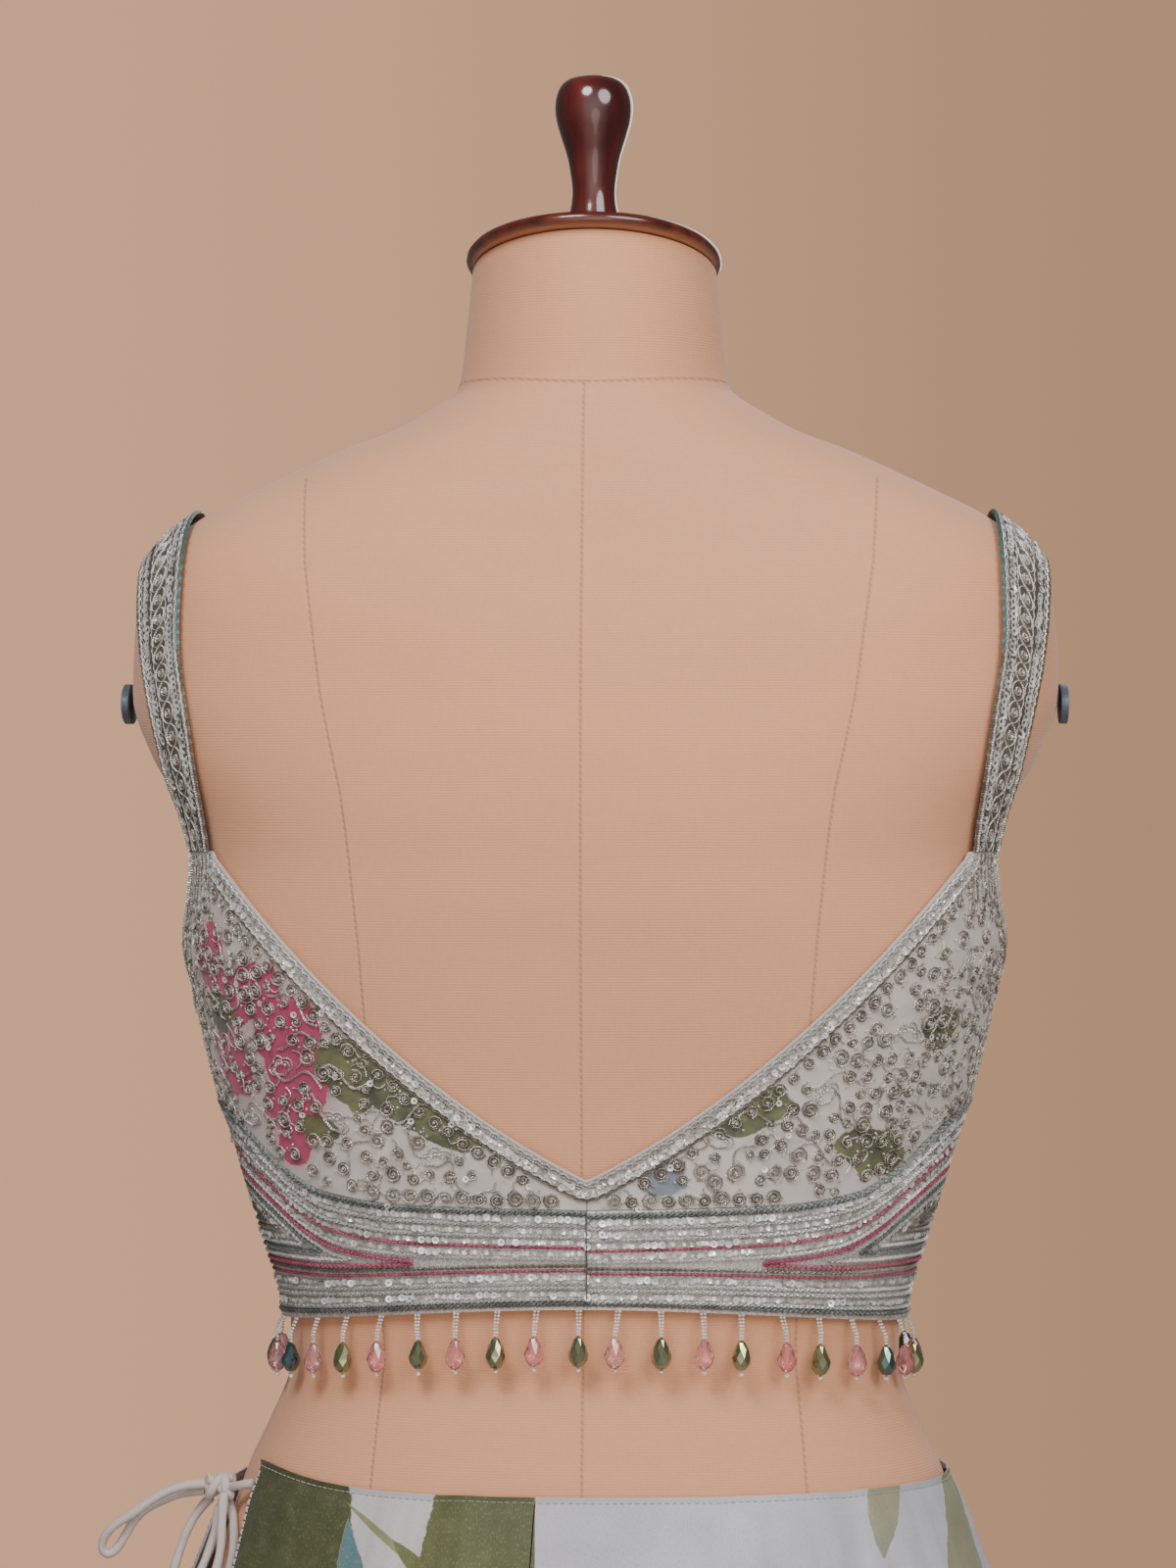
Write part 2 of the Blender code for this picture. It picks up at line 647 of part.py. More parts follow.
def skirt_top(angle):
    """Top edge of the skirt, a little higher at the back corner of the slit and lower in front of it."""
    turn = math.degrees(angle)
    if turn > 180:
        return SKIRT_TOP + BACK_CORNER_RISE * math.exp(-((turn - BACK_CORNER_DEG) / CORNER_WIDE_DEG) ** 2)
    return SKIRT_TOP - FRONT_CORNER_DROP * math.exp(-((turn - FRONT_CORNER_DEG) / CORNER_WIDE_DEG) ** 2)


def skirt_panel(name, start, end, material):
    """One gore; start and end give the edge angle in degrees at a depth below the waist."""
    outside = []
    inside = []
    for step in range(SKIRT_STEPS + 1):
        u = step / SKIRT_STEPS
        outer_column = []
        inner_column = []
        for below in SKIRT_ROWS:
            z = SKIRT_TOP - below
            trim = SEAM_GAP * 0.62 / SKIRT["front"](z)
            first = math.radians(start(below)) + trim
            last = math.radians(end(below)) - trim
            angle = first + (last - first) * u
            share = below / SKIRT_ROWS[-1]
            z += (skirt_top(angle) - SKIRT_TOP) * (1 - share) ** 8
            point = skirt_point(angle, z)
            inner_column.append(point)
            outer_column.append(point + skirt_normal(angle, z) * WALL)
        outside.append(outer_column)
        inside.append(inner_column)
    return wall(name, outside, inside, material)


# Drawstring

def smooth_route(route, spacing):
    """Points of a smooth curve through a route's points, in metres."""
    points = [Vector(p) / 1000 for p in route]
    ends = [points[0] * 2 - points[1], *points, points[-1] * 2 - points[-2]]
    dense = []
    for a, b, c, d in zip(ends, ends[1:], ends[2:], ends[3:]):
        for i in range(24):
            t = i / 24
            dense.append(0.5 * (2 * b + (c - a) * t + (2 * a - 5 * b + 4 * c - d) * t ** 2
                                + (3 * b - a - 3 * c + d) * t ** 3))
    dense.append(points[-1])
    total = sum((q - p).length for p, q in zip(dense, dense[1:]))
    count = max(3, round(total / spacing))
    wanted = [total * i / count for i in range(count + 1)]
    spaced = []
    run = 0.0
    for p, q in zip(dense, dense[1:]):
        step = (q - p).length
        while wanted and wanted[0] <= run + step + 1e-9:
            spaced.append(p.lerp(q, (wanted.pop(0) - run) / step))
        run += step
    return spaced


def drawstring(name, route, material):
    curve = bpy.data.curves.new(name, "CURVE")
    curve.dimensions = "3D"
    curve.bevel_depth = CORD_DIAMETER / 2
    curve.bevel_resolution = 2
    curve.use_fill_caps = True
    points = smooth_route(route, CORD_DIAMETER * CORD_STEP)
    spline = curve.splines.new("POLY")
    spline.points.add(len(points) - 1)
    for made, point in zip(spline.points, points):
        made.co = (*point, 1.0)
    curve.materials.append(material)
    tube = bpy.data.objects.new(name, curve)
    bpy.context.scene.collection.objects.link(tube)
    return tube


def knot(name, material):
    """The bow's knot: a plump wrap, pinched at its middle."""
    bm = bmesh.new()
    bmesh.ops.create_uvsphere(bm, u_segments=12, v_segments=8, radius=1.0)
    for vert in bm.verts:
        pinch = 1 - 0.14 * math.exp(-(vert.co.x / 0.35) ** 2)
        vert.co.y *= pinch
        vert.co = (vert.co * Vector(KNOT_HALF) + Vector(KNOT_CENTRE)) / 1000
    return add_object(name, bm, material, 60)


# Dress form and stand

def form_body(name, material):
    """The padded body: sections on the shared surface, with a level foot and a tilted neck top."""
    ring = columns(0, 360)[1:-1]
    angles = [0.0, *ring]
    tilt = math.tan(math.radians(CAP_TILT_DEG))
    grid = []
    for angle in angles:
        column = []
        for z in FORM_HEIGHTS:
            point = on_body(angle, z, -FORM_INSET)
            point.z = z
            point.y -= BUST_EASE * bust(point.x, z) * max(0.0, math.sin(angle))
            up = max(0.0, (z - NECK_SEAM) / (NECK_TOP - NECK_SEAM))
            point.z -= tilt * up * (point.y - NECK_CENTRE_Y)
            column.append(point)
        grid.append(column)
    bm = bmesh.new()
    verts = skin(bm, grid, closed=True)
    for row in (0, -1):
        rim = [column[row] for column in verts]
        centre = bm.verts.new(sum((vert.co for vert in rim), Vector()) / len(rim))
        for i, vert in enumerate(rim):
            bm.faces.new((vert, rim[(i + 1) % len(rim)], centre))
    return add_object(name, bm, material)


def turned(name, profile, steps, material, centre=(0.0, 0.0), smooth_deg=40):
    """A turned solid from radius and height pairs, bottom to top."""
    bm = bmesh.new()
    points = [Vector((0, 0, profile[0][1]))]
    points += [Vector((radius, 0, z)) for radius, z in profile]
    points.append(Vector((0, 0, profile[-1][1])))
    verts = [bm.verts.new(point) for point in points]
    edges = [bm.edges.new(pair) for pair in zip(verts, verts[1:])]
    bmesh.ops.spin(bm, geom=verts + edges, cent=(0, 0, 0), axis=(0, 0, 1), angle=2 * math.pi, steps=steps,
                   use_merge=True)
    bmesh.ops.remove_doubles(bm, verts=bm.verts, dist=1e-6)
    bmesh.ops.translate(bm, verts=bm.verts, vec=(*centre, 0))
    return add_object(name, bm, material, smooth_deg)


def neck_cap(name, material):
    """Oval wooden plate on the tilted top of the neck, with a rounded rim."""
    bm = bmesh.new()
    half = CAP_THICK / 2
    rim = ((0.955, -half), (0.99, -half * 0.6), (1.0, 0.0), (0.99, half * 0.6), (0.955, half))
    grid = []
    for i in range(CAP_SIDES):
        angle = 2 * math.pi * i / CAP_SIDES
        grid.append([Vector((CAP_HALF_WIDTH * r * math.cos(angle), CAP_HALF_DEPTH * r * math.sin(angle), z))
                     for r, z in rim])
    verts = skin(bm, grid, closed=True)
    for row in (0, -1):
        bm.faces.new([column[row] for column in verts])
    made = add_object(name, bm, material)
    made.rotation_euler = (-math.radians(CAP_TILT_DEG), 0, 0)
    made.location = (0, NECK_CENTRE_Y, NECK_TOP + half + 2 * SEAM_GAP)
    return made


def arm_plate(name, side, material):
    """Small oval plate closing the arm cap."""
    bm = bmesh.new()
    bmesh.ops.create_cone(bm, cap_ends=True, segments=24, radius1=1.0, radius2=0.86, depth=1.0)
    made = add_object(name, bm, material)
    made.scale = (*ARM_PLATE_HALF, ARM_PLATE_THICK)
    made.rotation_euler = (0, side * math.radians(90), 0)
    made.location = (side * (BODY["half_width"](ARM_HEIGHT) + ARM_PLATE_OFF), 0, ARM_HEIGHT)
    return made


FINIAL = ((0.0100, 0.0), (0.0118, 0.0025), (0.0113, 0.0130), (0.0098, 0.0165), (0.0092, 0.0245),
          (0.0106, 0.0350), (0.0142, 0.0475), (0.0163, 0.0560), (0.0158, 0.0640), (0.0118, 0.0700),
          (0.0060, 0.0722))
BASE = ((BASE_RADIUS - 0.003, 0.0), (BASE_RADIUS, 0.003), (BASE_RADIUS, 0.010), (BASE_RADIUS - 0.010, 0.016),
        (0.060, 0.020), (0.030, BASE_TALL))


def clear_scene():
    for old in list(bpy.data.objects):
        bpy.data.objects.remove(old, do_unlink=True)


def build_choli():
    silk = finish("embroidered_silk", (0.62, 0.60, 0.58), 0.6)
    braid = finish("silver_braid", (0.55, 0.53, 0.48), 0.35, 0.6)
    beads = finish("bead_drops", (0.60, 0.30, 0.36), 0.1)
    bodice_panel("choli_front_centre", PRINCESS, 180 - PRINCESS, silk)
    bodice_panel("choli_front_side_right", 0, PRINCESS, silk)
    bodice_panel("choli_front_side_left", 180 - PRINCESS, 180, silk)
    bodice_panel("choli_back_left", 180, 270, silk)
    bodice_panel("choli_back_right", 270, 360, silk)
    band_panel("choli_band_front", 0, 180, braid)
    band_panel("choli_band_back_left", 180, 270, braid)
    band_panel("choli_band_back_right", 270, 360, braid)
    edge_border("neck_border_back_left", 180 + BACK_STRAP_MIDDLE, 270, braid)
    edge_border("neck_border_back_right", 270, 360 - BACK_STRAP_MIDDLE, braid)
    edge_border("neck_border_front", FRONT_STRAP_MIDDLE, 180 - FRONT_STRAP_MIDDLE, braid)
    edge_border("armhole_border_left", 180 - FRONT_STRAP_MIDDLE, 180 + BACK_STRAP_MIDDLE, braid)
    edge_border("armhole_border_right", 360 - BACK_STRAP_MIDDLE, 360 + FRONT_STRAP_MIDDLE, braid)
    strap("choli_strap_left", -1, braid)
    strap("choli_strap_right", 1, braid)
    drops = drop_angles()
    bead_fringe("bead_fringe_front", 0, 180, drops, beads)
    bead_fringe("bead_fringe_back_left", 180, 270, drops, beads)
    bead_fringe("bead_fringe_back_right", 270, 360, drops, beads)


def build_lehenga():
    satin = finish("printed_tissue_satin", (0.55, 0.56, 0.50), 0.45)
    back_edge = SLIT_EDGE["back_edge"]
    front_edge = SLIT_EDGE["front_edge"]
    skirt_panel("lehenga_front_right", lambda below: 0, lambda below: 90, satin)
    skirt_panel("lehenga_front_left", lambda below: 90, lambda below: 180 - front_edge(below), satin)
    skirt_panel("lehenga_back_left", lambda below: 180 + back_edge(below), lambda below: BACK_SEAM_DEG, satin)
    skirt_panel("lehenga_back_right", lambda below: BACK_SEAM_DEG, lambda below: 360, satin)


def build_drawstring():
    cotton = finish("drawstring_fabric", (0.60, 0.55, 0.54), 0.8)
    knot("drawstring_knot", cotton)
    drawstring("drawstring_lead_back", LEAD_BACK, cotton)
    drawstring("drawstring_lead_front", LEAD_FRONT, cotton)
    drawstring("drawstring_loop_left", LOOP_LEFT, cotton)
    drawstring("drawstring_loop_hanging", LOOP_HANGING, cotton)
    drawstring("drawstring_tail_left", TAIL_LEFT, cotton)
    drawstring("drawstring_tail_back", TAIL_BACK, cotton)


def build_form():
    knit = finish("beige_knit", (0.60, 0.42, 0.30), 0.85)
    wood = finish("polished_wood", (0.09, 0.015, 0.012), 0.2)
    plate = finish("arm_plate_plastic", (0.06, 0.08, 0.11), 0.5)
    steel = finish("stand_steel", (0.35, 0.35, 0.36), 0.3, 1.0)
    form_body("form_body", knit)
    neck_cap("neck_cap", wood)
    tilt = math.radians(CAP_TILT_DEG)
    cap_top = NECK_TOP + 2 * SEAM_GAP + CAP_THICK / 2 * (1 + 1 / math.cos(tilt))
    foot = cap_top + FINIAL[0][0] * math.tan(tilt) + SEAM_GAP
    finial = [(radius, foot + z) for radius, z in FINIAL]
    turned("finial", finial, 20, wood, centre=(0.0, NECK_CENTRE_Y))
    arm_plate("arm_plate_left", -1, plate)
    arm_plate("arm_plate_right", 1, plate)
    pole = ((POLE_RADIUS, BASE_TALL + SEAM_GAP), (POLE_RADIUS, FORM_FOOT - SEAM_GAP))
    turned("stand_pole", pole, 16, steel)
    turned("stand_base", BASE, 36, wood)


def main():
    clear_scene()
    build_form()
    build_choli()
    build_lehenga()
    build_drawstring()


main()
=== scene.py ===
"""Looks of a lehenga choli on a dress form.

Embroidered choli with a deep V back, braid band and bead drops; printed tissue lehenga with a side
slit and a tied drawstring; knit-covered form with wooden cap and finial on a stand.
Metres, +Z up. The wearer's back faces -Y and the wearer's left side is at -X.
"""
from math import atan2, cos, hypot, pi, radians, sin, tan, tau
import random
from collections import namedtuple

import bmesh
import bpy
import numpy as np
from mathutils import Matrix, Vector


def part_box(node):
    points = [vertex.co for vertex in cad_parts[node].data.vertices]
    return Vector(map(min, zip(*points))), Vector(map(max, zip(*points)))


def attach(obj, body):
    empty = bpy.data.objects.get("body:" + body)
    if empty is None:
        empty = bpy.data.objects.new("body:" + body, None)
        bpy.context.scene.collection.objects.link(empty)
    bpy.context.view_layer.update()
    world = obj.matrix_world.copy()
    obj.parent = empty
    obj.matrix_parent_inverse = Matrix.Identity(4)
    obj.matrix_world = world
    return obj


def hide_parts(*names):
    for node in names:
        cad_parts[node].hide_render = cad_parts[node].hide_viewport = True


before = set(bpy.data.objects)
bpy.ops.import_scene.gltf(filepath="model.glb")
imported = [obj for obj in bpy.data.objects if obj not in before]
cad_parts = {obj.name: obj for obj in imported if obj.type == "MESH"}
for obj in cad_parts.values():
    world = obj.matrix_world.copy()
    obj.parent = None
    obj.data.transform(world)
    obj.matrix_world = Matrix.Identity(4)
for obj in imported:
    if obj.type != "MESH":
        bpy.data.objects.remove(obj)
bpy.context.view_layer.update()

bl_info = {
    "name": "Lehenga choli on dress form",
    "version": (1, 0, 0),
    "blender": (4, 5, 0),
    "location": "View3D > Sidebar > Lehenga",
    "description": "Builds the cloth, embroidery, beads and dress form of a lehenga choli",
    "category": "Add Mesh",
}

# Sizes shared with the solids
CLOTH_CLEAR = 0.0012
CLOTH_OUT = 0.0028
SEAM_GAP = 0.0003
BACK_NECK = (1.175, 0.492, 2.37)
FRONT_NECK = (1.25, 0.392, 1.0)
BACK_STRAP_SEAM = 1.307
FRONT_STRAP_SEAM = 1.33
HEM_CENTRE = 1.124
HEM_SIDE_DROP = 0.011
PIVOT_Y = -0.005
PIVOT_Z = 1.375
BUST_X = 0.078
BUST_Z = 1.255
BUST_RISE = 0.04
BUST_WIDE = 0.06
BUST_ABOVE = 0.06
BUST_BELOW = 0.038
BUST_EASE = 0.11
SKIRT_TOP = 1.047
SKIRT_HEM = 0.022
BACK_SEAM_DEG = 262.0
FOLD_START = 0.12
FOLD_GROWTH = 1.15
FLAP = (0.004, 170.0, 22.0, 0.02, 0.1)
DROP_COUNT = 42
FIRST_DROP = 0.18
NECK_SEAM = 1.5
NECK_TOP = 1.5495
CAP_TILT_DEG = 13.0
NECK_CENTRE_Y = -0.0065
FORM_FOOT = 0.82
FORM_INSET = 0.0007
CORD_DIAMETER = 0.0038

# Height at which the way round the bodice is measured
GIRTH_HEIGHT = 1.2
# Columns of the tables that hold lengths
LENGTHS = ("height", "half_width", "front", "back", "crest", "inner", "outer", "below", "arc", "long", "wide",
           "tall", "deep", "half")


def table(fields, *rows):
    """Rows under named columns; those of lengths are written in millimetres and read in metres."""
    kind = namedtuple("Line", fields)
    scales = [1000 if name in LENGTHS else 0 for name in kind._fields]
    return tuple(kind(*(value / scale if scale else value for value, scale in zip(row, scales))) for row in rows)


BODY_LEVELS = table(
    "height half_width front back square",
    (820, 160, 92, 108, 2.2), (850, 170, 100, 120, 2.2), (890, 175, 105, 125, 2.2), (950, 170, 102, 114, 2.2),
    (1000, 161, 98, 99, 2.2), (1049, 146, 94, 90, 2.2), (1066, 138, 90, 85, 2.2), (1092, 128.5, 85, 79, 2.2),
    (1115, 128.5, 86, 80, 2.25), (1145, 136, 90, 84, 2.3), (1168, 143, 92, 87, 2.35), (1188, 149, 93, 90, 2.4),
    (1209, 156, 94, 93, 2.4), (1229, 161, 95, 96, 2.45), (1250, 165.5, 96, 99, 2.5), (1268, 169, 96, 101, 2.5),
    (1285, 167.5, 96, 103, 2.5), (1302, 166.5, 95, 104, 2.5), (1322, 172, 93, 105, 2.5), (1345, 186, 90, 104, 2.4),
    (1372, 195, 85, 101, 2.3), (1400, 194, 76, 97, 2.25), (1420, 190, 68, 92, 2.2), (1436, 179, 61, 87, 2.15),
    (1447, 164, 56, 84, 2.1), (1458, 142, 53, 80, 2.1), (1467, 123, 51, 77, 2.1), (1475, 105, 50, 74, 2.05),
    (1482, 86.5, 49, 71, 2), (1490, 72, 48, 67, 2), (1500, 58, 47, 62, 2), (1525, 54.5, 46, 60, 2),
    (1550, 52, 45, 58, 2),
)
BACK_ARMHOLE = table(
    "from_side height",
    (0, 1268), (6, 1271), (11, 1281), (15, BACK_STRAP_SEAM * 1000),
)
FRONT_ARMHOLE = table(
    "from_side height",
    (0, 1268), (6, 1270), (11, 1275), (15, 1282), (22.5, 1301), (30, FRONT_STRAP_SEAM * 1000),
)
BAND_TOP = table(
    "from_side height",
    (0, 1206), (15, 1203), (22.5, 1198), (30, 1189), (37.5, 1177), (45, 1169), (60, 1164.5), (90, 1163),
)
STRAP_EDGES = table(
    "along inner outer",
    (0, 154.5, 165.5), (0.12, 160.5, 174.5), (0.3, 167, 183.5), (0.5, 165.5, 187), (0.75, 160, 180), (1, 147.5, 160),
)
SKIRT_LEVELS = table(
    "height half_width front back square",
    (22, 500, 485, 485, 2), (160, 462, 445, 447, 2), (310, 415, 396, 400, 2), (450, 370, 348, 354, 2),
    (580, 326, 300, 308, 2), (700, 284, 252, 262, 2.05), (800, 248, 208, 220, 2.1), (880, 217, 170, 182, 2.15),
    (940, 192, 141, 151, 2.2), (985, 173, 119, 126, 2.2), (1015, 160.5, 105, 109, 2.2), (1036, 152.5, 98, 98, 2.2),
    (1047.5, 146.7, 94.3, 90.8, 2.2), (1060, 141.9, 92.2, 87.8, 2.2),
)
FOLDS = table(
    "angle crest half_angle",
    (0, 40, 12), (23, 34, 10), (43, 44, 11), (66, 30, 10), (90, 40, 12), (112, 36, 9), (133, 46, 12), (156, 30, 10),
    (180, 40, 12), (201, 34, 9), (224, 46, 13), (248, 32, 10), (270, 40, 11), (291, 36, 10), (314, 46, 12),
    (338, 32, 10),
)
SLIT = table(
    "below back_edge front_edge",
    (0, 22.5, 3), (20, 25.5, 3), (45, 28, 3.5), (90, 22, 3), (140, 9, 1.5), (175, 0, 0), (1100, 0, 0),
)

# Routes of the drawstring, in millimetres
KNOT_CENTRE = (-155.1, -26, 1041.7)
ROUTES = {
    "lead_back": ((-139.9, -37.8, 1044.7), (-143.4, -36.2, 1044), (-146.3, -34, 1043.2), (-150.1, -29.6, 1042.2)),
    "lead_front": ((-156.6, 4.8, 1036.2), (-156.8, -2.5, 1036.8), (-156.6, -9, 1037.9), (-156.2, -15, 1039.2),
        (-155.7, -20.7, 1040.6)),
    "loop_left": ((-161.8, -28.3, 1043), (-168.8, -29.5, 1042.5), (-177.5, -30, 1039.7), (-184.9, -30, 1035.3),
        (-191, -29.5, 1030.8), (-198.4, -28.5, 1026), (-203.1, -27, 1021), (-204.7, -25.5, 1015.5),
        (-202.3, -24.5, 1012.9), (-198.2, -24, 1015.9), (-194.7, -23.8, 1021.6), (-190.4, -23.6, 1028.2),
        (-182.5, -23.6, 1034), (-171.2, -23.8, 1038.4), (-162, -24.4, 1039.6)),
    "loop_hanging": ((-153, -32.6, 1039.5), (-153.2, -34.9, 1033), (-153.4, -36.5, 1026), (-153.6, -38.8, 1018),
        (-155.5, -43, 1008), (-161.5, -48, 995), (-169.5, -52.5, 979), (-176, -56, 963), (-180.6, -57.5, 951.5),
        (-184, -57, 945.5), (-187, -53.5, 945.8), (-186.8, -50, 951), (-183, -47, 961), (-176, -43, 977),
        (-168.5, -39, 993), (-162, -35.8, 1008.5), (-158.2, -32.6, 1018.5), (-156.2, -30.2, 1026.5),
        (-155.6, -28.6, 1033.6)),
    "tail_left": ((-159.4, -22.3, 1036.6), (-163, -21.8, 1033), (-166.8, -21.8, 1027.6), (-170.4, -22, 1020.5),
        (-172.3, -22, 1014.9), (-174.6, -22, 1008), (-178.6, -22, 992), (-185.6, -22, 966), (-196, -22, 940),
        (-208.6, -22.5, 910), (-221, -23, 880), (-237, -23.5, 840), (-251, -24, 805)),
    "tail_back": ((-151.4, -25, 1034.8), (-149, -32, 1028), (-148, -39.5, 1020), (-149.2, -45, 1009),
        (-152.5, -46.5, 996), (-158, -46, 978), (-164.5, -45, 956), (-170, -44, 930), (-173.5, -43, 900),
        (-175, -42, 865), (-175.5, -42, 825)),
}


class Curve:
    """A smooth, never overshooting curve through one column of a table, read from close samples."""

    def __init__(self, lines, column):
        rows = sorted(lines, key=lambda row: row[0])
        xs = np.array([row[0] for row in rows], float)
        ys = np.array([getattr(row, column) for row in rows], float)
        steps = np.diff(xs)
        rises = np.diff(ys) / steps
        before = rises[:-1]
        after = rises[1:]
        same_way = before * after > 0
        total = np.where(same_way, before + after, 1.0)
        inner = np.where(same_way, 2 * before * after / total, 0.0)
        slopes = np.concatenate(([rises[0]], inner, [rises[-1]]))
        self.places = np.linspace(xs[0], xs[-1], 6000)
        i = np.clip(np.searchsorted(xs, self.places, side="right") - 1, 0, len(xs) - 2)
        t = (self.places - xs[i]) / steps[i]
        start = (1 + 2 * t) * (1 - t) ** 2 * ys[i] + t * (1 - t) ** 2 * steps[i] * slopes[i]
        end = t * t * (3 - 2 * t) * ys[i + 1] + t * t * (t - 1) * steps[i] * slopes[i + 1]
        self.heights = start + end

    def __call__(self, x):
        return np.interp(x, self.places, self.heights)


def curves(lines):
    return {name: Curve(lines, name) for name in lines[0]._fields[1:]}


BODY = curves(BODY_LEVELS)
SKIRT = curves(SKIRT_LEVELS)
STRAP = curves(STRAP_EDGES)
SLIT_EDGE = curves(SLIT)
BACK_ARMHOLE_EDGE = Curve(BACK_ARMHOLE, "height")
FRONT_ARMHOLE_EDGE = Curve(FRONT_ARMHOLE, "height")
BAND_TOP_EDGE = Curve(BAND_TOP, "height")


def bust(x, z):
    tall = np.where(z > BUST_Z, BUST_ABOVE, BUST_BELOW)
    upright = np.exp(-((z - BUST_Z) / tall) ** 2)
    return BUST_RISE * upright * sum(np.exp(-((x - c) / BUST_WIDE) ** 2) for c in (-BUST_X, BUST_X))


def oval(angle, half_width, front, back, square):
    """Width and depth of a level's outline at an angle, and the share of it that faces the front."""
    c = np.cos(angle)
    s = np.sin(angle)
    reach = (np.abs(c) ** square + np.abs(s) ** square) ** (-1 / square)
    return half_width * reach * c, np.where(s > 0, front, back) * reach * s, reach * np.maximum(s, 0.0)


def body_points(angle, z):
    """Points on the form's surface, for arrays of angles and heights."""
    angle, z = np.broadcast_arrays(np.asarray(angle, float), np.asarray(z, float))
    x, y, share = oval(angle, **{name: curve(z) for name, curve in BODY.items()})
    return np.stack([x, y + share * bust(x, z), z], axis=-1)


def gauge(p):
    """Below zero inside the form, above zero outside it."""
    x, y, z = p[..., 0], p[..., 1], p[..., 2]
    depth = np.where(y > 0, BODY["front"](z) + bust(x, z), BODY["back"](z))
    square = BODY["square"](z)
    return (np.abs(x) / BODY["half_width"](z)) ** square + (np.abs(y) / depth) ** square - 1


def slope(p):
    step = 0.0006
    parts = []
    for axis in range(3):
        shift = np.zeros(3)
        shift[axis] = step
        parts.append((gauge(p + shift) - gauge(p - shift)) / (2 * step))
    return np.stack(parts, axis=-1)


def turned(dx, dz, degrees):
    """The parts of a shift along and across a direction."""
    c = cos(radians(degrees))
    s = sin(radians(degrees))
    return dx * c + dz * s, dz * c - dx * s


def spin(turn):
    """Turns flat points round their origin."""
    c, s = cos(turn), sin(turn)
    return np.array([[c, s], [-s, c]])


def lengths(points, axis=0):
    return np.linalg.norm(np.diff(points, axis=axis), axis=-1)


def run_along(points):
    """Distance along a path from its first point to each point."""
    return np.concatenate([[0], np.cumsum(lengths(points))])


def evenly(points, step, least=2):
    """Points along a path, one step apart."""
    run = run_along(points)
    wanted = np.linspace(0, run[-1], max(least, round(run[-1] / step)) + 1)
    return np.stack([np.interp(wanted, run, points[:, k]) for k in range(3)], axis=1)


def spline(p, per):
    """Points of a smooth curve through a route; the route's first and last points only lead it."""
    t = np.arange(per)[:, None] / per
    runs = [0.5 * (2 * b + (c - a) * t + (2 * a - 5 * b + 4 * c - d) * t ** 2 + (3 * b - a - 3 * c + d) * t ** 3)
            for a, b, c, d in zip(p, p[1:], p[2:], p[3:])]
    return np.concatenate([*runs, [p[-2]]])


def unit(v):
    return v / np.maximum(np.linalg.norm(v, axis=-1, keepdims=True), 1e-12)


def on_body(angle, z, off):
    p = body_points(angle, z)
    return p + unit(slope(p)) * np.asarray(off)[..., None]


def settle(p, off):
    """Moves points near the form onto it, then out by off."""
    for _ in range(2):
        g = slope(p)
        p = p - g * (gauge(p) / np.maximum((g * g).sum(-1), 1e-9))[..., None]
    return p + unit(slope(p)) * np.asarray(off)[..., None]


def from_side(angle):
    turn = np.degrees(angle) % 180
    return np.minimum(turn, 180 - turn)


def neck_height(angle, point_z, fall, bend):
    z = np.full(np.shape(angle), point_z)
    for _ in range(14):
        x = np.abs(body_points(angle, z)[..., 0])
        z = point_z + fall * x + bend * x * x
    return z


def bodice_top(angle):
    """Top edge of the bodice; its level stretches are the seams of the straps."""
    angle = np.asarray(angle, float)
    side = from_side(angle)
    back = np.where(side <= 15, BACK_ARMHOLE_EDGE(side), BACK_STRAP_SEAM)
    back = np.where(side > 30, np.minimum(BACK_STRAP_SEAM, neck_height(angle, *BACK_NECK)), back)
    front = np.where(side <= 30, FRONT_ARMHOLE_EDGE(side), FRONT_STRAP_SEAM)
    front = np.where(side > 37.5, np.minimum(FRONT_STRAP_SEAM, neck_height(angle, *FRONT_NECK)), front)
    return np.where(np.sin(angle) > 0, front, back)


def band_top(angle):
    return BAND_TOP_EDGE(from_side(angle))


def hem_height(angle):
    return HEM_CENTRE - HEM_SIDE_DROP * np.cos(np.radians(from_side(angle))) ** 2


def make_arc_table():
    """Arc length round the form from the centre back, for each height and angle."""
    heights = np.arange(1.08, 1.361, 0.005)
    angles = np.radians(np.arange(90, 451, 1.0))
    p = body_points(angles[None, :], heights[:, None])
    arcs = np.concatenate([np.zeros((len(heights), 1)), np.cumsum(lengths(p, 1), axis=1)], axis=1)
    return heights, angles, arcs - arcs[:, 180:181]


ARC_Z, ARC_TURN, ARCS = make_arc_table()


def arc_at(angle, z):
    """Signed arc length from the centre back; plus is towards the wearer's right."""
    angle = (np.asarray(angle, float) - radians(90)) % tau
    a = np.degrees(angle)
    i = np.clip((np.asarray(z) - ARC_Z[0]) / 0.005, 0, len(ARC_Z) - 1.001)
    i0 = i.astype(int)
    a0 = np.clip(a.astype(int), 0, 359)
    t = a - a0
    low = ARCS[i0, a0] * (1 - t) + ARCS[i0, a0 + 1] * t
    high = ARCS[i0 + 1, a0] * (1 - t) + ARCS[i0 + 1, a0 + 1] * t
    return low + (high - low) * (i - i0)


def angle_at(arc, z):
    """The angle at a signed arc length from the centre back, at one height."""
    i = int(np.clip(round((z - ARC_Z[0]) / 0.005), 0, len(ARC_Z) - 1))
    return np.interp(arc, ARCS[i], ARC_TURN)


# Mesh building


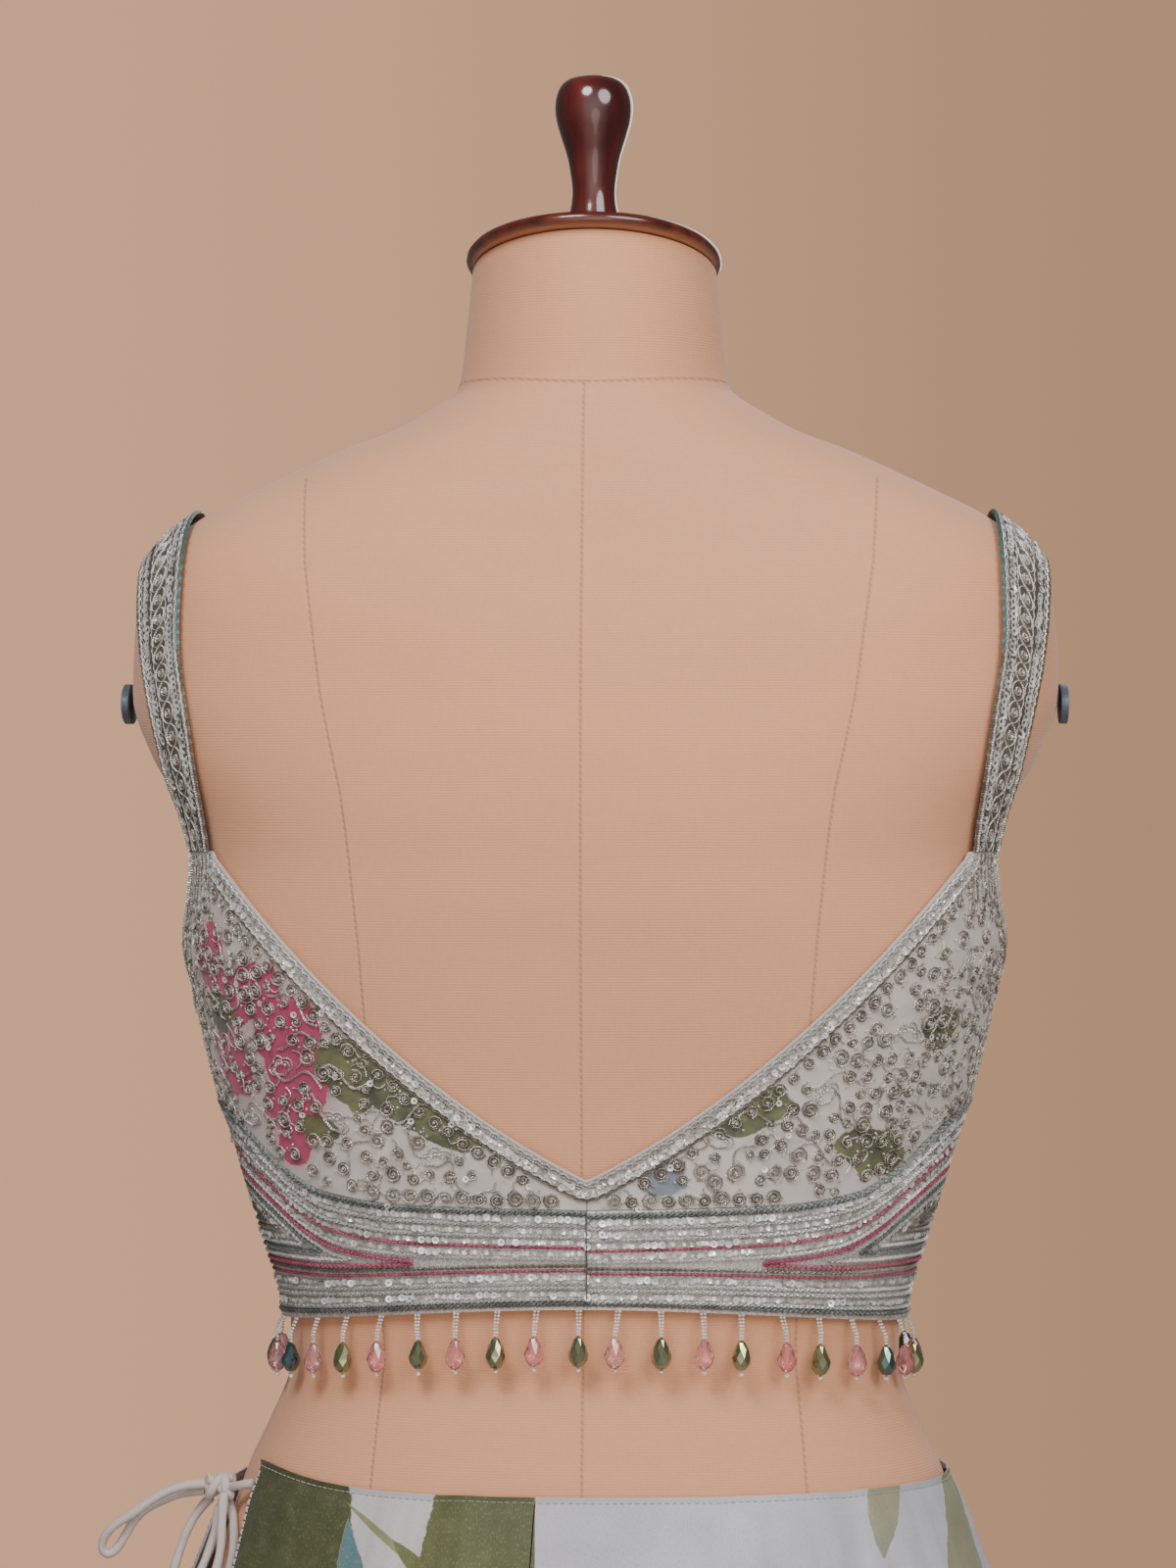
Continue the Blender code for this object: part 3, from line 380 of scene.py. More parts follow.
class Heap:
    """Points, faces, places on the pattern and tints of one joined mesh."""

    def __init__(self):
        self.points = []
        self.faces = []
        self.uvs = []
        self.tints = []
        self.slots = []
        self.count = 0

    def add(self, points, faces, uv=None, tint=0.5, slot=0):
        points = np.asarray(points, float)
        self.points.append(points)
        self.faces += [tuple(self.count + int(k) for k in face) for face in faces]
        self.uvs.append(np.zeros((len(points), 2)) if uv is None else np.asarray(uv, float))
        self.tints.append(np.full(len(points), tint) if np.isscalar(tint) else np.asarray(tint))
        self.slots += [slot] * len(faces)
        self.count += len(points)

    def tube(self, path, out, half, sides=3, tint=0.5, slot=0, closed=False):
        """A thin thread along a path; half is its half width, out its upward direction at each point."""
        path = np.asarray(path, float)
        n = len(path)
        along = unit(np.roll(path, -1, 0) - np.roll(path, 1, 0)) if closed else unit(np.gradient(path, axis=0))
        across = unit(np.cross(along, out))
        out = np.cross(across, along)
        turns = [pi / 2 + tau * k / sides for k in range(sides)]
        half = np.broadcast_to(half, n)[:, None]
        rings = [path + across * half * cos(t) + out * half * sin(t) for t in turns]
        points = np.stack(rings, axis=1).reshape(-1, 3)
        uv = np.stack([np.repeat(run_along(path), sides), np.tile(np.arange(sides) / sides, n)], axis=1)
        faces = []
        for i in range(n if closed else n - 1):
            a = i * sides
            b = ((i + 1) % n) * sides
            for k in range(sides):
                m = (k + 1) % sides
                faces.append((a + k, b + k, b + m, a + m))
        if not closed:
            faces.append(tuple(range(sides)))
            faces.append(tuple((n - 1) * sides + k for k in reversed(range(sides))))
        self.add(points, faces, uv, tint, slot)

    def grid(self, points, uv=None, slot=0, thick=0.0, wrap=False, tint=0.5):
        """A surface from columns of points, as a closed sheet where it has a thickness inwards."""
        cols, rows = points.shape[:2]
        flat = points.reshape(-1, 3)
        uv = np.zeros((cols * rows, 2)) if uv is None else uv.reshape(-1, 2)
        pairs = [(i, (i + 1) % cols) for i in range(cols if wrap else cols - 1)]
        faces = [(i * rows + j, i * rows + j + 1, k * rows + j + 1, k * rows + j)
                 for i, k in pairs for j in range(rows - 1)]
        if not thick:
            self.add(flat, faces, uv, tint, slot)
            return
        du = np.gradient(points, axis=0)
        dv = np.gradient(points, axis=1)
        inward = -unit(np.cross(dv, du)).reshape(-1, 3)
        m = cols * rows
        back = [(m + f[3], m + f[2], m + f[1], m + f[0]) for f in faces]
        rim = []
        for i, k in pairs:
            rim.append((i * rows, k * rows, m + k * rows, m + i * rows))
            a, b = i * rows + rows - 1, k * rows + rows - 1
            rim.append((b, a, m + a, m + b))
        if not wrap:
            last = (cols - 1) * rows
            for j in range(rows - 1):
                rim.append((j + 1, j, m + j, m + j + 1))
                rim.append((last + j, last + j + 1, m + last + j + 1, m + last + j))
        tint = tint if np.isscalar(tint) else np.concatenate([np.ravel(tint)] * 2)
        self.add(np.concatenate([flat, flat + inward * thick]), faces + back + rim,
                 np.concatenate([uv, uv]), tint, slot)

    def build(self, name, finishes, smooth_deg=50, fields=None, fix=False, weld=False):
        """Makes the object, with a map, a tint and further fields on its points."""
        mesh = bpy.data.meshes.new(name)
        points = np.concatenate(self.points)
        mesh.from_pydata(points.tolist(), [], self.faces)
        for finish in finishes:
            mesh.materials.append(FINISHES[finish])
        mesh.polygons.foreach_set("material_index", self.slots)
        loops = np.empty(len(mesh.loops), int)
        mesh.loops.foreach_get("vertex_index", loops)
        uvs = np.concatenate(self.uvs)
        mesh.uv_layers.new(name="pattern").data.foreach_set("uv", uvs[loops].ravel())
        fields = dict(fields or {})
        fields["tint"] = np.concatenate(self.tints)
        for key, values in fields.items():
            values = np.ravel(values)
            values = np.concatenate([values] * (len(points) // len(values)))
            mesh.attributes.new(key, "FLOAT", "POINT").data.foreach_set("value", values)
        mesh.shade_smooth()
        mesh.set_sharp_from_angle(angle=radians(smooth_deg))
        if fix:
            bm = bmesh.new()
            bm.from_mesh(mesh)
            if weld:
                bmesh.ops.remove_doubles(bm, verts=bm.verts, dist=1e-6)
            bmesh.ops.recalc_face_normals(bm, faces=bm.faces)
            bm.to_mesh(mesh)
            bm.free()
        made = bpy.data.objects.new(name, mesh)
        bpy.context.scene.collection.objects.link(made)
        return made


def place(piece, slot, *nodes):
    """Hides the solids that a finished piece stands for and lets it ride on the part; its slot is not used."""
    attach(piece, "root")
    if nodes:
        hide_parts(*nodes)
    return piece


# Finishes


def scaled(colour, share):
    """The colour made lighter or darker."""
    return tuple(min(c * share, 1) for c in colour)


def maths(operation, swapped=False):
    """A sum of Value: one maths node fed by the value and one more."""
    def added(value, other=0):
        first, second = (other, value) if swapped else (value, other)
        return value.nodes.node("ShaderNodeMath", 0, {0: first, 1: second}, operation=operation)
    return added


class Value:
    """A number that changes over a surface, used in sums as a plain number is."""
    __add__ = maths("ADD")
    __sub__ = maths("SUBTRACT")
    __rsub__ = maths("SUBTRACT", swapped=True)
    __mul__ = maths("MULTIPLY")
    absolute = maths("ABSOLUTE")
    sine = maths("SINE")

    def __init__(self, nodes, socket):
        self.nodes = nodes
        self.socket = socket

    def over(self, low, high):
        """Rises smoothly from 0 at low to 1 at high."""
        inputs = {"Value": self, "From Min": low, "From Max": high}
        return self.nodes.node("ShaderNodeMapRange", "Result", inputs, interpolation_type="SMOOTHSTEP")


class Nodes:
    """The shader nodes of one tree, written as sums."""

    def __init__(self, tree):
        self.tree = tree

    def set(self, node, inputs):
        for key, value in inputs.items():
            if isinstance(value, Value):
                self.tree.links.new(value.socket, node.inputs[key])
            else:
                node.inputs[key].default_value = value

    def node(self, kind, output=None, inputs=None, **settings):
        """Adds a node; gives one of its outputs, or the node itself where none is named."""
        made = self.tree.nodes.new(kind)
        for key, value in settings.items():
            setattr(made, key, value)
        self.set(made, inputs or {})
        return made if output is None else Value(self, made.outputs[output])

    def split(self, vector):
        return [Value(self, part) for part in self.node("ShaderNodeSeparateXYZ", inputs={0: vector}).outputs]

    def mix(self, share, first, second, **settings):
        first, second = ((*one, 1) if isinstance(one, tuple) else one for one in (first, second))
        return self.node("ShaderNodeMix", 2, {0: share, 6: first, 7: second}, data_type="RGBA", **settings)


class Finish(Nodes):
    """One material."""

    def __init__(self, name, colour, roughness, **constants):
        self.material = bpy.data.materials.new(name)
        self.material.use_nodes = True
        super().__init__(self.material.node_tree)
        self.paint(Base_Color=(*colour, 1), Roughness=roughness, **constants)

    def paint(self, **inputs):
        shader = self.tree.nodes["Principled BSDF"]
        self.set(shader, {key.replace("_", " "): value for key, value in inputs.items()})
        return self

    def place(self):
        return self.node("ShaderNodeTexCoord", "Object")

    def pattern(self):
        """Along and across values of the piece's own map, and both as one vector."""
        uv = self.node("ShaderNodeUVMap", "UV", uv_map="pattern")
        return *self.split(uv)[:2], uv

    def field(self, name):
        return self.node("ShaderNodeAttribute", "Fac", attribute_name=name)

    def noise(self, scale, detail=2, vector=None, roughness=0.5):
        inputs = {"Scale": scale, "Detail": detail, "Roughness": roughness, "Vector": vector or self.place()}
        return self.node("ShaderNodeTexNoise", "Fac", inputs)

    def grain(self, detail, stretch, vector=None):
        """Noise with its own scale along each axis."""
        inputs = {"Vector": vector or self.place(), "Scale": stretch}
        return self.noise(1, detail, self.node("ShaderNodeMapping", "Vector", inputs))

    def ramp(self, share, *stops):
        made = self.node("ShaderNodeValToRGB", inputs={0: share})
        elements = made.color_ramp.elements
        while len(elements) < len(stops):
            elements.new(1)
        for element, (position, colour) in zip(elements, stops):
            element.position = position
            element.color = (*colour, 1)
        return Value(self, made.outputs["Color"])

    def relief(self, height, distance, strength=1):
        inputs = {"Height": height, "Distance": distance, "Strength": strength}
        self.paint(Normal=self.node("ShaderNodeBump", "Normal", inputs))


def weave(u, v, pitch):
    """Height of a plain weave with threads of one pitch, from 0 to 1."""
    return (u * (tau / pitch)).sine() * (v * (tau / pitch)).sine() * 0.5 + 0.5


def ribs(u, v, pitch):
    """Height of the slanting strands of a twisted thread, from 0 to 1."""
    return (u * (tau / pitch) + v * tau).sine() * 0.5 + 0.5


def knit_finish(colours):
    """Beige stretch knit: fine level rows, soft tone changes, and the form's sewn seams."""
    f = Finish("form_knit", colours.knit, 0.82, Sheen_Weight=0.25, Sheen_Roughness=0.5)
    x, _, z = f.split(f.place())
    rows = (z * (tau / 0.0011) + f.noise(35) * 3).sine()
    threads = f.grain(2, (900, 900, 260))
    tone = f.noise(9, 3)
    seam = 0
    for name in ("seam_princess", "seam_middle", "seam_neck", "seam_side"):
        seam = f.field(name).absolute().over(0.0009, 0.0002) + seam
    stitch = seam * ((z + x * 0.8) * (tau / 0.0026)).sine().over(-0.3, 0.4)
    base = f.mix(tone.over(0.3, 0.7), scaled(colours.knit, 0.965), tuple(colours.knit))
    base = f.mix((rows * 0.5 + 0.5) * 0.16, base, scaled(colours.knit, 0.72))
    base = f.mix(threads.over(0.35, 0.75) * 0.22, base, scaled(colours.knit, 1.12))
    base = f.mix(seam * 0.24, base, (0.3, 0.16, 0.11))
    base = f.mix(stitch * 0.3, base, (0.16, 0.09, 0.07))
    f.relief(rows * 0.35 + threads * 0.6 - seam * 3, 0.00016, 0.55)
    return f.paint(Base_Color=base).material


def wood_finish():
    """Dark polished mahogany with a faint grain under clear lacquer."""
    f = Finish("dark_mahogany", (0.07, 0.008, 0.006), 0.16, Coat_Weight=0.8, Coat_Roughness=0.05)
    grain = f.grain(6, (90, 90, 14))
    streak = f.grain(3, (260, 260, 30))
    base = f.ramp(grain, (0.3, (0.026, 0.003, 0.003)), (0.55, (0.08, 0.009, 0.008)), (0.8, (0.16, 0.022, 0.015)))
    base = f.mix(streak.over(0.5, 0.8) * 0.3, base, (0.02, 0.003, 0.003))
    f.relief(grain, 0.0002, 0.15)
    return f.paint(Base_Color=base, Roughness=streak * 0.12 + 0.12).material


def rim_finish():
    """The cap's rim, painted lighter and redder on its underside edge as a warm highlight."""
    f = Finish("cap_lacquer", (0.12, 0.02, 0.012), 0.2, Coat_Weight=0.6, Coat_Roughness=0.08)
    grain = f.grain(5, (60, 220, 220))
    base = f.ramp(grain, (0.3, (0.03, 0.005, 0.004)), (0.7, (0.13, 0.022, 0.012)))
    # painted highlight: the rim's underside edge tinted warm and light
    return f.paint(Base_Color=f.mix(f.field("tint"), base, (0.42, 0.16, 0.07))).material


def plate_finish():
    f = Finish("arm_plate_plastic", (0.1, 0.13, 0.19), 0.45)
    f.relief(f.noise(1500), 0.0001, 0.3)
    return f.paint(Base_Color=f.mix(f.noise(120, 3), (0.07, 0.09, 0.13), (0.13, 0.17, 0.24))).material


def steel_finish():
    """Brushed steel tube with fine marks round it."""
    f = Finish("stand_steel", (0.46, 0.46, 0.47), 0.32, Metallic=1)
    marks = f.grain(3, (60, 60, 2600))
    tone = f.mix(marks, (0.4, 0.4, 0.41), (0.54, 0.54, 0.55))
    return f.paint(Base_Color=tone, Roughness=marks * 0.2 + 0.24).material


def silk_finish(colours):
    """Pale silk with soft watercolour patches under the embroidery."""
    f = Finish("choli_silk", colours.silk, 0.55, Sheen_Weight=0.3)
    u, v, uv = f.pattern()
    wash = f.noise(60, 4, uv, 0.6)
    fine = f.noise(400, 3, uv)
    edge = (wash - 0.5) * 0.9
    pink = f.field("pink") + edge
    rose = f.mix(fine, (0.26, 0.008, 0.05), (0.56, 0.045, 0.15))
    olive = f.mix(wash.over(0.35, 0.65), (0.03, 0.04, 0.014), (0.15, 0.165, 0.06))
    slate = f.mix(fine, (0.08, 0.12, 0.17), (0.18, 0.24, 0.3))
    base = f.mix(wash.over(0.3, 0.7), scaled(colours.silk, 0.88), scaled(colours.silk, 1.12))
    base = f.mix(pink.over(0.04, 0.36) * 0.45, base, (0.5, 0.24, 0.28))
    base = f.mix(pink.over(0.36, 0.43) * 0.92, base, rose)
    base = f.mix((f.field("green") + edge).over(0.36, 0.42) * 0.94, base, olive)
    base = f.mix((f.field("blue") + edge).over(0.36, 0.44) * 0.85, base, slate)
    f.relief(weave(u, v, 0.0007), 0.00008, 0.5)
    return f.paint(Base_Color=base, Roughness=wash * 0.15 + 0.45).material


def thread_finish(name, dark, light, metallic, roughness, twist=0.0011):
    """Twisted metal thread: slanting strands along its own length, with painted shade in the grooves between them
    and tarnish from place to place.
    """
    f = Finish(name, light, roughness)
    u, v, _ = f.pattern()
    strands = ribs(u, v, twist)
    worn = f.noise(110, 3)
    base = f.mix(worn.over(0.25, 0.75) * 0.6 + f.field("tint") * 0.4, dark, light)
    # painted shade in the grooves between the twisted strands
    base = f.mix((1 - strands) * 0.4, base, scaled(dark, 0.35))
    base = f.mix(f.noise(1100, 1).over(0.6, 0.4) * 0.55, base, scaled(dark, 0.45))
    f.relief(strands, 0.0003, 0.8)
    return f.paint(Base_Color=base, Metallic=metallic, Roughness=worn * 0.2 + roughness).material


def sequin_finish(name, colour, spread, metallic):
    """Thin shiny foil that shifts in tone from disc to disc."""
    f = Finish(name, colour, 0.18, Metallic=metallic)
    tint = f.field("tint")
    base = f.mix(tint, scaled(colour, 1 - spread), scaled(colour, 1 + spread))
    shift = f.mix(f.noise(240), (0.9, 0.95, 1), (1, 0.96, 0.9))
    base = f.mix(0.7, base, shift, blend_type="MULTIPLY")
    return f.paint(Base_Color=base, Roughness=tint * 0.2 + 0.12).material


def bead_finish(name, colour, second, **constants):
    """Faceted glass whose tone changes from bead to bead, with paler patches of painted lustre from face to face."""
    f = Finish(name, colour, 0.06, **constants)
    painted_lustre = f.noise(170, 1)
    base = f.mix(f.field("tint"), colour, second)
    # painted sheen: paler patches of lustre from a noise
    base = f.mix(painted_lustre.over(0.4, 0.7) * 0.35, base, tuple(c * 0.6 + 0.2 for c in second))
    return f.paint(Base_Color=base, Roughness=painted_lustre * 0.08 + 0.04).material


WAIST_SPRAYS = table(
    "arc height long wide tilt tone",
    (-120, 985, 160, 40, 90, 0.18), (-28, 985, 150, 31.5, 91, 0.28), (-81, 1000, 37, 7.5, 95, 0.95),
    (-67, 1029, 24, 1.8, -40, 0.58), (-58, 1021, 12, 3.4, -50, 0.36), (108, 1046, 26, 9, 88, 0.72),
    (168, 998, 80, 23, 92, 0.62), (-255, 990, 110, 26, 90, 0.12), (300, 990, 80, 24, 80, 0.3),
    (30, 925, 70, 20, 50, 0.68),
)


def painted_leaf(u, v, fine, spray):
    """Share of one leaf of the print near the waist; none crosses the seam at the back."""
    a, b = turned(u - spray.arc, v - spray.height, spray.tilt)
    half = a * a * (-spray.wide / spray.long ** 2) + spray.wide
    share = half - (b + a * a * 1.2).absolute() + (fine - 0.5) * min(0.005, spray.wide * 0.35)
    seam = radians(BACK_SEAM_DEG - 270) * 0.12
    own = (u - seam).over(-0.0002, 0.0002)
    return share.over(0, 0.0007) * (own if spray.arc > seam else 1 - own)


def tissue_finish(colours):
    """Shimmering tissue satin with a large watercolour leaf print, and painted glints and shade along its grain."""
    f = Finish("tissue_satin", colours.tissue, 0.42, Sheen_Weight=0.2, Sheen_Roughness=0.4, Specular_IOR_Level=0.18)
    u, v, uv = f.pattern()
    wash = f.noise(16, 4, uv, 0.6)
    fine = f.noise(130, 5, uv, 0.65)
    glint = f.grain(2, (2400, 700, 1), uv)
    leaf = (f.field("leaf") + (fine - 0.5) * 0.006).over(0.0062, 0.0082)
    tone = f.field("leaf_tone")
    for spray in WAIST_SPRAYS:
        painted = painted_leaf(u, v, fine, spray)
        leaf = painted + leaf * (1 - painted)
        tone = (spray.tone - tone) * painted + tone
    tone = tone + (wash - 0.5) * 0.35
    vein = f.field("vein").absolute().over(0.0022, 0.0007)
    ground = f.mix(wash.over(0.3, 0.7), scaled(colours.tissue, 0.9), scaled(colours.tissue, 1.1))
    ground = f.mix(u.over(0.01, -0.05) * u.over(-0.19, -0.13) * 0.5, ground, (0.5, 0.45, 0.41))
    green = f.ramp(tone, (0.05, (0.028, 0.034, 0.01)), (0.3, (0.08, 0.09, 0.024)), (0.5, (0.15, 0.165, 0.05)),
                   (0.7, (0.3, 0.29, 0.18)), (0.88, (0.07, 0.16, 0.18)))
    green = f.mix(fine.over(0.4, 0.8) * 0.22, green, (0.2, 0.2, 0.11))
    base = f.mix(leaf * 0.96, ground, green)
    base = f.mix(vein * leaf * 0.12, base, (0.36, 0.36, 0.24))
    bloom = (f.field("bloom") + (fine - 0.5) * 0.1).over(0, 0.02)
    petal = f.mix(wash.over(0.35, 0.65), (0.36, 0.04, 0.1), (0.6, 0.22, 0.28))
    base = f.mix(bloom * 0.85, base, petal)
    # painted glints: pale gold specks where the grain is high
    base = f.mix(glint.over(0.52, 0.8) * 0.17, base, (0.74, 0.71, 0.52))
    # painted shade: darker specks where the grain is low
    base = f.mix(glint.over(0.48, 0.25) * 0.22, base, (0.1, 0.1, 0.08))
    f.relief(weave(u, v, 0.0008) * 0.6 + glint * 0.8, 0.0001, 0.5)
    return f.paint(Base_Color=base, Metallic=glint * 0.15, Roughness=glint * -0.2 + 0.62).material


def cord_finish():
    """Satin tube of the drawstring, with soft pulls and painted shade in their dips."""
    f = Finish("drawstring_fabric", (0.58, 0.5, 0.47), 0.7, Sheen_Weight=0.2)
    pull = f.noise(260, 3)
    tone = f.mix(f.noise(90, 3), (0.5, 0.43, 0.4), (0.61, 0.54, 0.51))
    f.relief(pull, 0.0004, 0.3)
    # painted shade in the dips of the pulls
    return f.paint(Base_Color=f.mix(pull.over(0.5, 0.2) * 0.3, tone, (0.42, 0.34, 0.31))).material


def teal_finish():
    f = Finish("teal_satin", (0.05, 0.17, 0.15), 0.4)
    f.relief(f.noise(700), 0.0001, 0.4)
    return f.paint(Base_Color=f.mix(f.noise(90, 3), (0.02, 0.075, 0.07), (0.05, 0.16, 0.14))).material


def ribbed_finish(name, light, dark, pitch, roughness, strength, **constants):
    """Satin piping or sewing thread, with a fine slanting rib."""
    f = Finish(name, light, roughness, **constants)
    u, v, _ = f.pattern()
    rib = ribs(u, v, pitch)
    f.relief(rib, 0.0001, strength)
    return f.paint(Base_Color=f.mix(rib * 0.4, light, dark)).material


FINISHES = {}


def make_finishes(colours):
    FINISHES.update({
        "knit": knit_finish(colours), "wood": wood_finish(), "rim": rim_finish(), "plate": plate_finish(),
        "steel": steel_finish(), "silk": silk_finish(colours), "tissue": tissue_finish(colours),
        "cord": cord_finish(), "teal": teal_finish(),
        "piping": ribbed_finish("satin_piping", (0.46, 0.43, 0.41), (0.34, 0.31, 0.29), 0.0016, 0.5, 0.4,
                                Sheen_Weight=0.2),
        "thread": ribbed_finish("white_thread", (0.46, 0.45, 0.45), (0.276, 0.27, 0.27), 0.0008, 0.6, 0.5),
        "silver": thread_finish("bright_silver", (0.78, 0.74, 0.69), (1, 0.99, 0.97), 0.46, 0.22),
        "antique": thread_finish("antique_silver", (0.6, 0.54, 0.47), (1, 0.97, 0.92), 0.52, 0.22),
        "gold": thread_finish("bronze_thread", (0.29, 0.245, 0.19), (0.68, 0.6, 0.5), 0.6, 0.26),
        "ground": thread_finish("braid_ground", (0.13, 0.11, 0.088), (0.36, 0.32, 0.26), 0.45, 0.32),
        "slate": thread_finish("slate_thread", (0.12, 0.138, 0.13), (0.4, 0.42, 0.405), 0.3, 0.38, 0.0016),
        "grey": thread_finish("grey_thread", (0.62, 0.6, 0.57), (1, 0.98, 0.94), 0.4, 0.26, 0.0016),
        "rose": thread_finish("rose_thread", (0.36, 0.04, 0.1), (0.66, 0.2, 0.29), 0, 0.5, 0.0016),
        "sequin": sequin_finish("silver_sequins", (1, 0.99, 0.98), 0.04, 0.5),
        "bronze": sequin_finish("bronze_sequins", (0.92, 0.86, 0.79), 0.42, 0.55),
        "seed": bead_finish("seed_beads", (0.96, 0.94, 0.92), (0.66, 0.64, 0.62), Metallic=0.25),
        "pink": bead_finish("pink_drops", (0.95, 0.36, 0.44), (1, 0.66, 0.7), Transmission_Weight=0.92,
                            Coat_Weight=1),
        "dark": bead_finish("iridescent_drops", (0.05, 0.13, 0.15), (0.3, 0.3, 0.13), Metallic=0.85,
                            Coat_Weight=0.8),
        "floor": Finish("studio_floor", (0.62, 0.55, 0.49), 0.9).material,
    })


# Settings


def length(name, description, default, **limits):
    return bpy.props.FloatProperty(name=name, description=description, default=default, unit="LENGTH", **limits)


def colour(name, description, default):
    return bpy.props.FloatVectorProperty(name=name, description=description, default=default, min=0, max=1,
                                         subtype="COLOR")


class LehengaSizes(bpy.types.PropertyGroup):
    rosette_pitch: length("Rosette pitch", "Distance between the coiled rosettes", 0.0078, min=0.006, max=0.02)
    thread_half: length("Thread half width", "Half the width of a couched metal thread", 0.00034, min=0.0002,
                        max=0.001)
    sequin_size: length("Sequin size", "Width of a ring sequin", 0.0029, min=0.002, max=0.006)
    camera_side: length("Camera to the side", "Distance of the camera to the right of the centre", 0.07)
    camera_away: length("Camera away", "Distance of the camera behind the wearer", 2.0)
    camera_height: length("Camera height", "Height of the camera above the floor", 1.3343)


class LehengaColours(bpy.types.PropertyGroup):
    knit: colour("Form knit", "Colour of the knit on the form", (0.74, 0.355, 0.19))
    silk: colour("Choli silk", "Ground colour of the choli", (0.56, 0.525, 0.49))
    tissue: colour("Skirt tissue", "Ground colour of the skirt", (0.48, 0.48, 0.53))
    backdrop: colour("Backdrop", "Colour of the backdrop's bright side", (0.78, 0.445, 0.265))


def sizes():
    return bpy.context.scene.lehenga_sizes


def colours():
    return bpy.context.scene.lehenga_colours


def fresh(make, name, **settings):
    """One of Blender's own shapes, made with nothing else selected."""
    bpy.ops.object.select_all(action="DESELECT")
    make(**settings)
    made = bpy.context.active_object
    made.name = name
    return made


def mode(name):
    bpy.ops.object.mode_set(mode=name)


class Maker:
    """Shared by the operators: each makes its pieces and fails loudly if it can't."""
    bl_options = {"REGISTER", "UNDO"}

    def execute(self, context):
        self.make()
        return {"FINISHED"}


# Stage


def soft_light(name, place_at, aim, size, power, tone):
    data = bpy.data.lights.new(name, "AREA")
    data.shape = "DISK"
    data.size = size
    data.energy = power
    data.color = tone
    lamp = bpy.data.objects.new(name, data)
    lamp.location = place_at
    lamp.rotation_euler = (Vector(aim) - Vector(place_at)).to_track_quat("-Z", "Y").to_euler()
    bpy.context.scene.collection.objects.link(lamp)


def make_backdrop(backdrop):
    """A plain warm backdrop with painted shade towards the right, and a soft even glow for the part."""
    world = bpy.data.worlds.new("studio")
    bpy.context.scene.world = world
    world.use_nodes = True
    world.node_tree.nodes.clear()
    n = Nodes(world.node_tree)
    x, y, _ = n.split(n.node("ShaderNodeTexCoord", "Generated"))
    # painted shade: the backdrop darkens towards the right
    tone = n.mix(x.over(-0.16, 0.14), tuple(backdrop), scaled(backdrop, 0.6))
    seen = n.node("ShaderNodeBackground", 0, {"Color": tone})
    front = n.node("ShaderNodeMapRange", "Result", {"Value": y, "From Min": 0.0, "From Max": -1.0})
    lobe = n.node("ShaderNodeMath", 0, {0: front, 1: 6.0}, operation="POWER")
    glow = n.node("ShaderNodeBackground", 0, {"Color": (0.96, 0.92, 0.89, 1.0), "Strength": lobe * 1.35 + 0.14})
    from_camera = n.node("ShaderNodeLightPath", "Is Camera Ray")
    n.node("ShaderNodeOutputWorld", None,
           {"Surface": n.node("ShaderNodeMixShader", 0, {0: from_camera, 1: glow, 2: seen})})


class LEHENGA_OT_stage(Maker, bpy.types.Operator):
    """Camera, soft lights, backdrop and floor"""
    bl_idname = "lehenga.stage"
    bl_label = "Stage"

    def make(self):
        s = sizes()
        make_finishes(colours())
        camera = bpy.data.objects.new("camera", bpy.data.cameras.new("camera"))
        camera.data.lens = 109.15
        camera.location = (s.camera_side, -s.camera_away, s.camera_height)
        turn = atan2(s.camera_side, s.camera_away) + 0.0014
        camera.rotation_euler = (radians(90), 0, turn)
        bpy.context.scene.collection.objects.link(camera)
        bpy.context.scene.camera = camera
        soft_light("key", (-0.55, -1.35, 2.75), (0, 0, 1.4), 0.8, 26, (0.98, 0.97, 1.0))
        soft_light("fill", (1.0, -1.45, 2.4), (0, 0, 1.35), 1.2, 26, (1.0, 0.97, 0.96))
        soft_light("low", (0.3, -2.6, 0.9), (0, 0, 1.1), 1.2, 4, (1.0, 0.84, 0.7))
        soft_light("rear", (0.8, 2.4, 2.2), (0, 0, 1.1), 1.8, 16, (1.0, 0.95, 0.9))
        make_backdrop(colours().backdrop)
        floor = fresh(bpy.ops.mesh.primitive_circle_add, "floor", vertices=96, radius=2.6, fill_type="NGON",
                      location=(0, 0, -0.0005))
        floor.data.materials.append(FINISHES["floor"])


# Drawstring


def smooth_path(route, spacing):
    """Points of a smooth curve through a route's points, in metres, and its length."""
    p = np.array(route) / 1000
    dense = spline(np.concatenate([[p[0] * 2 - p[1]], p, [p[-1] * 2 - p[-2]]]), 24)
    return evenly(dense, spacing, 3), run_along(dense)[-1]


def soft_tube(name, tapered=False):
    """A sewn fabric tube of uneven width."""
    path, length = smooth_path(ROUTES[name], 0.0016)
    n = len(path)
    i = np.arange(n)
    half = CORD_DIAMETER / 2 * (1 + 0.05 * np.sin(i * 0.7) + 0.04 * np.sin(i * 0.31 + 1))
    if tapered:
        half = half * (0.55 + 0.45 * np.minimum(1.0, (n - 1 - i) / 3.0))
    heap = Heap()
    heap.tube(path, np.tile([0.2, -1.0, 0.15], (n, 1)), half, sides=14)
    return place(heap.build("cord_" + name, ["cord"], 60), "drawstring", "drawstring_" + name), path, length


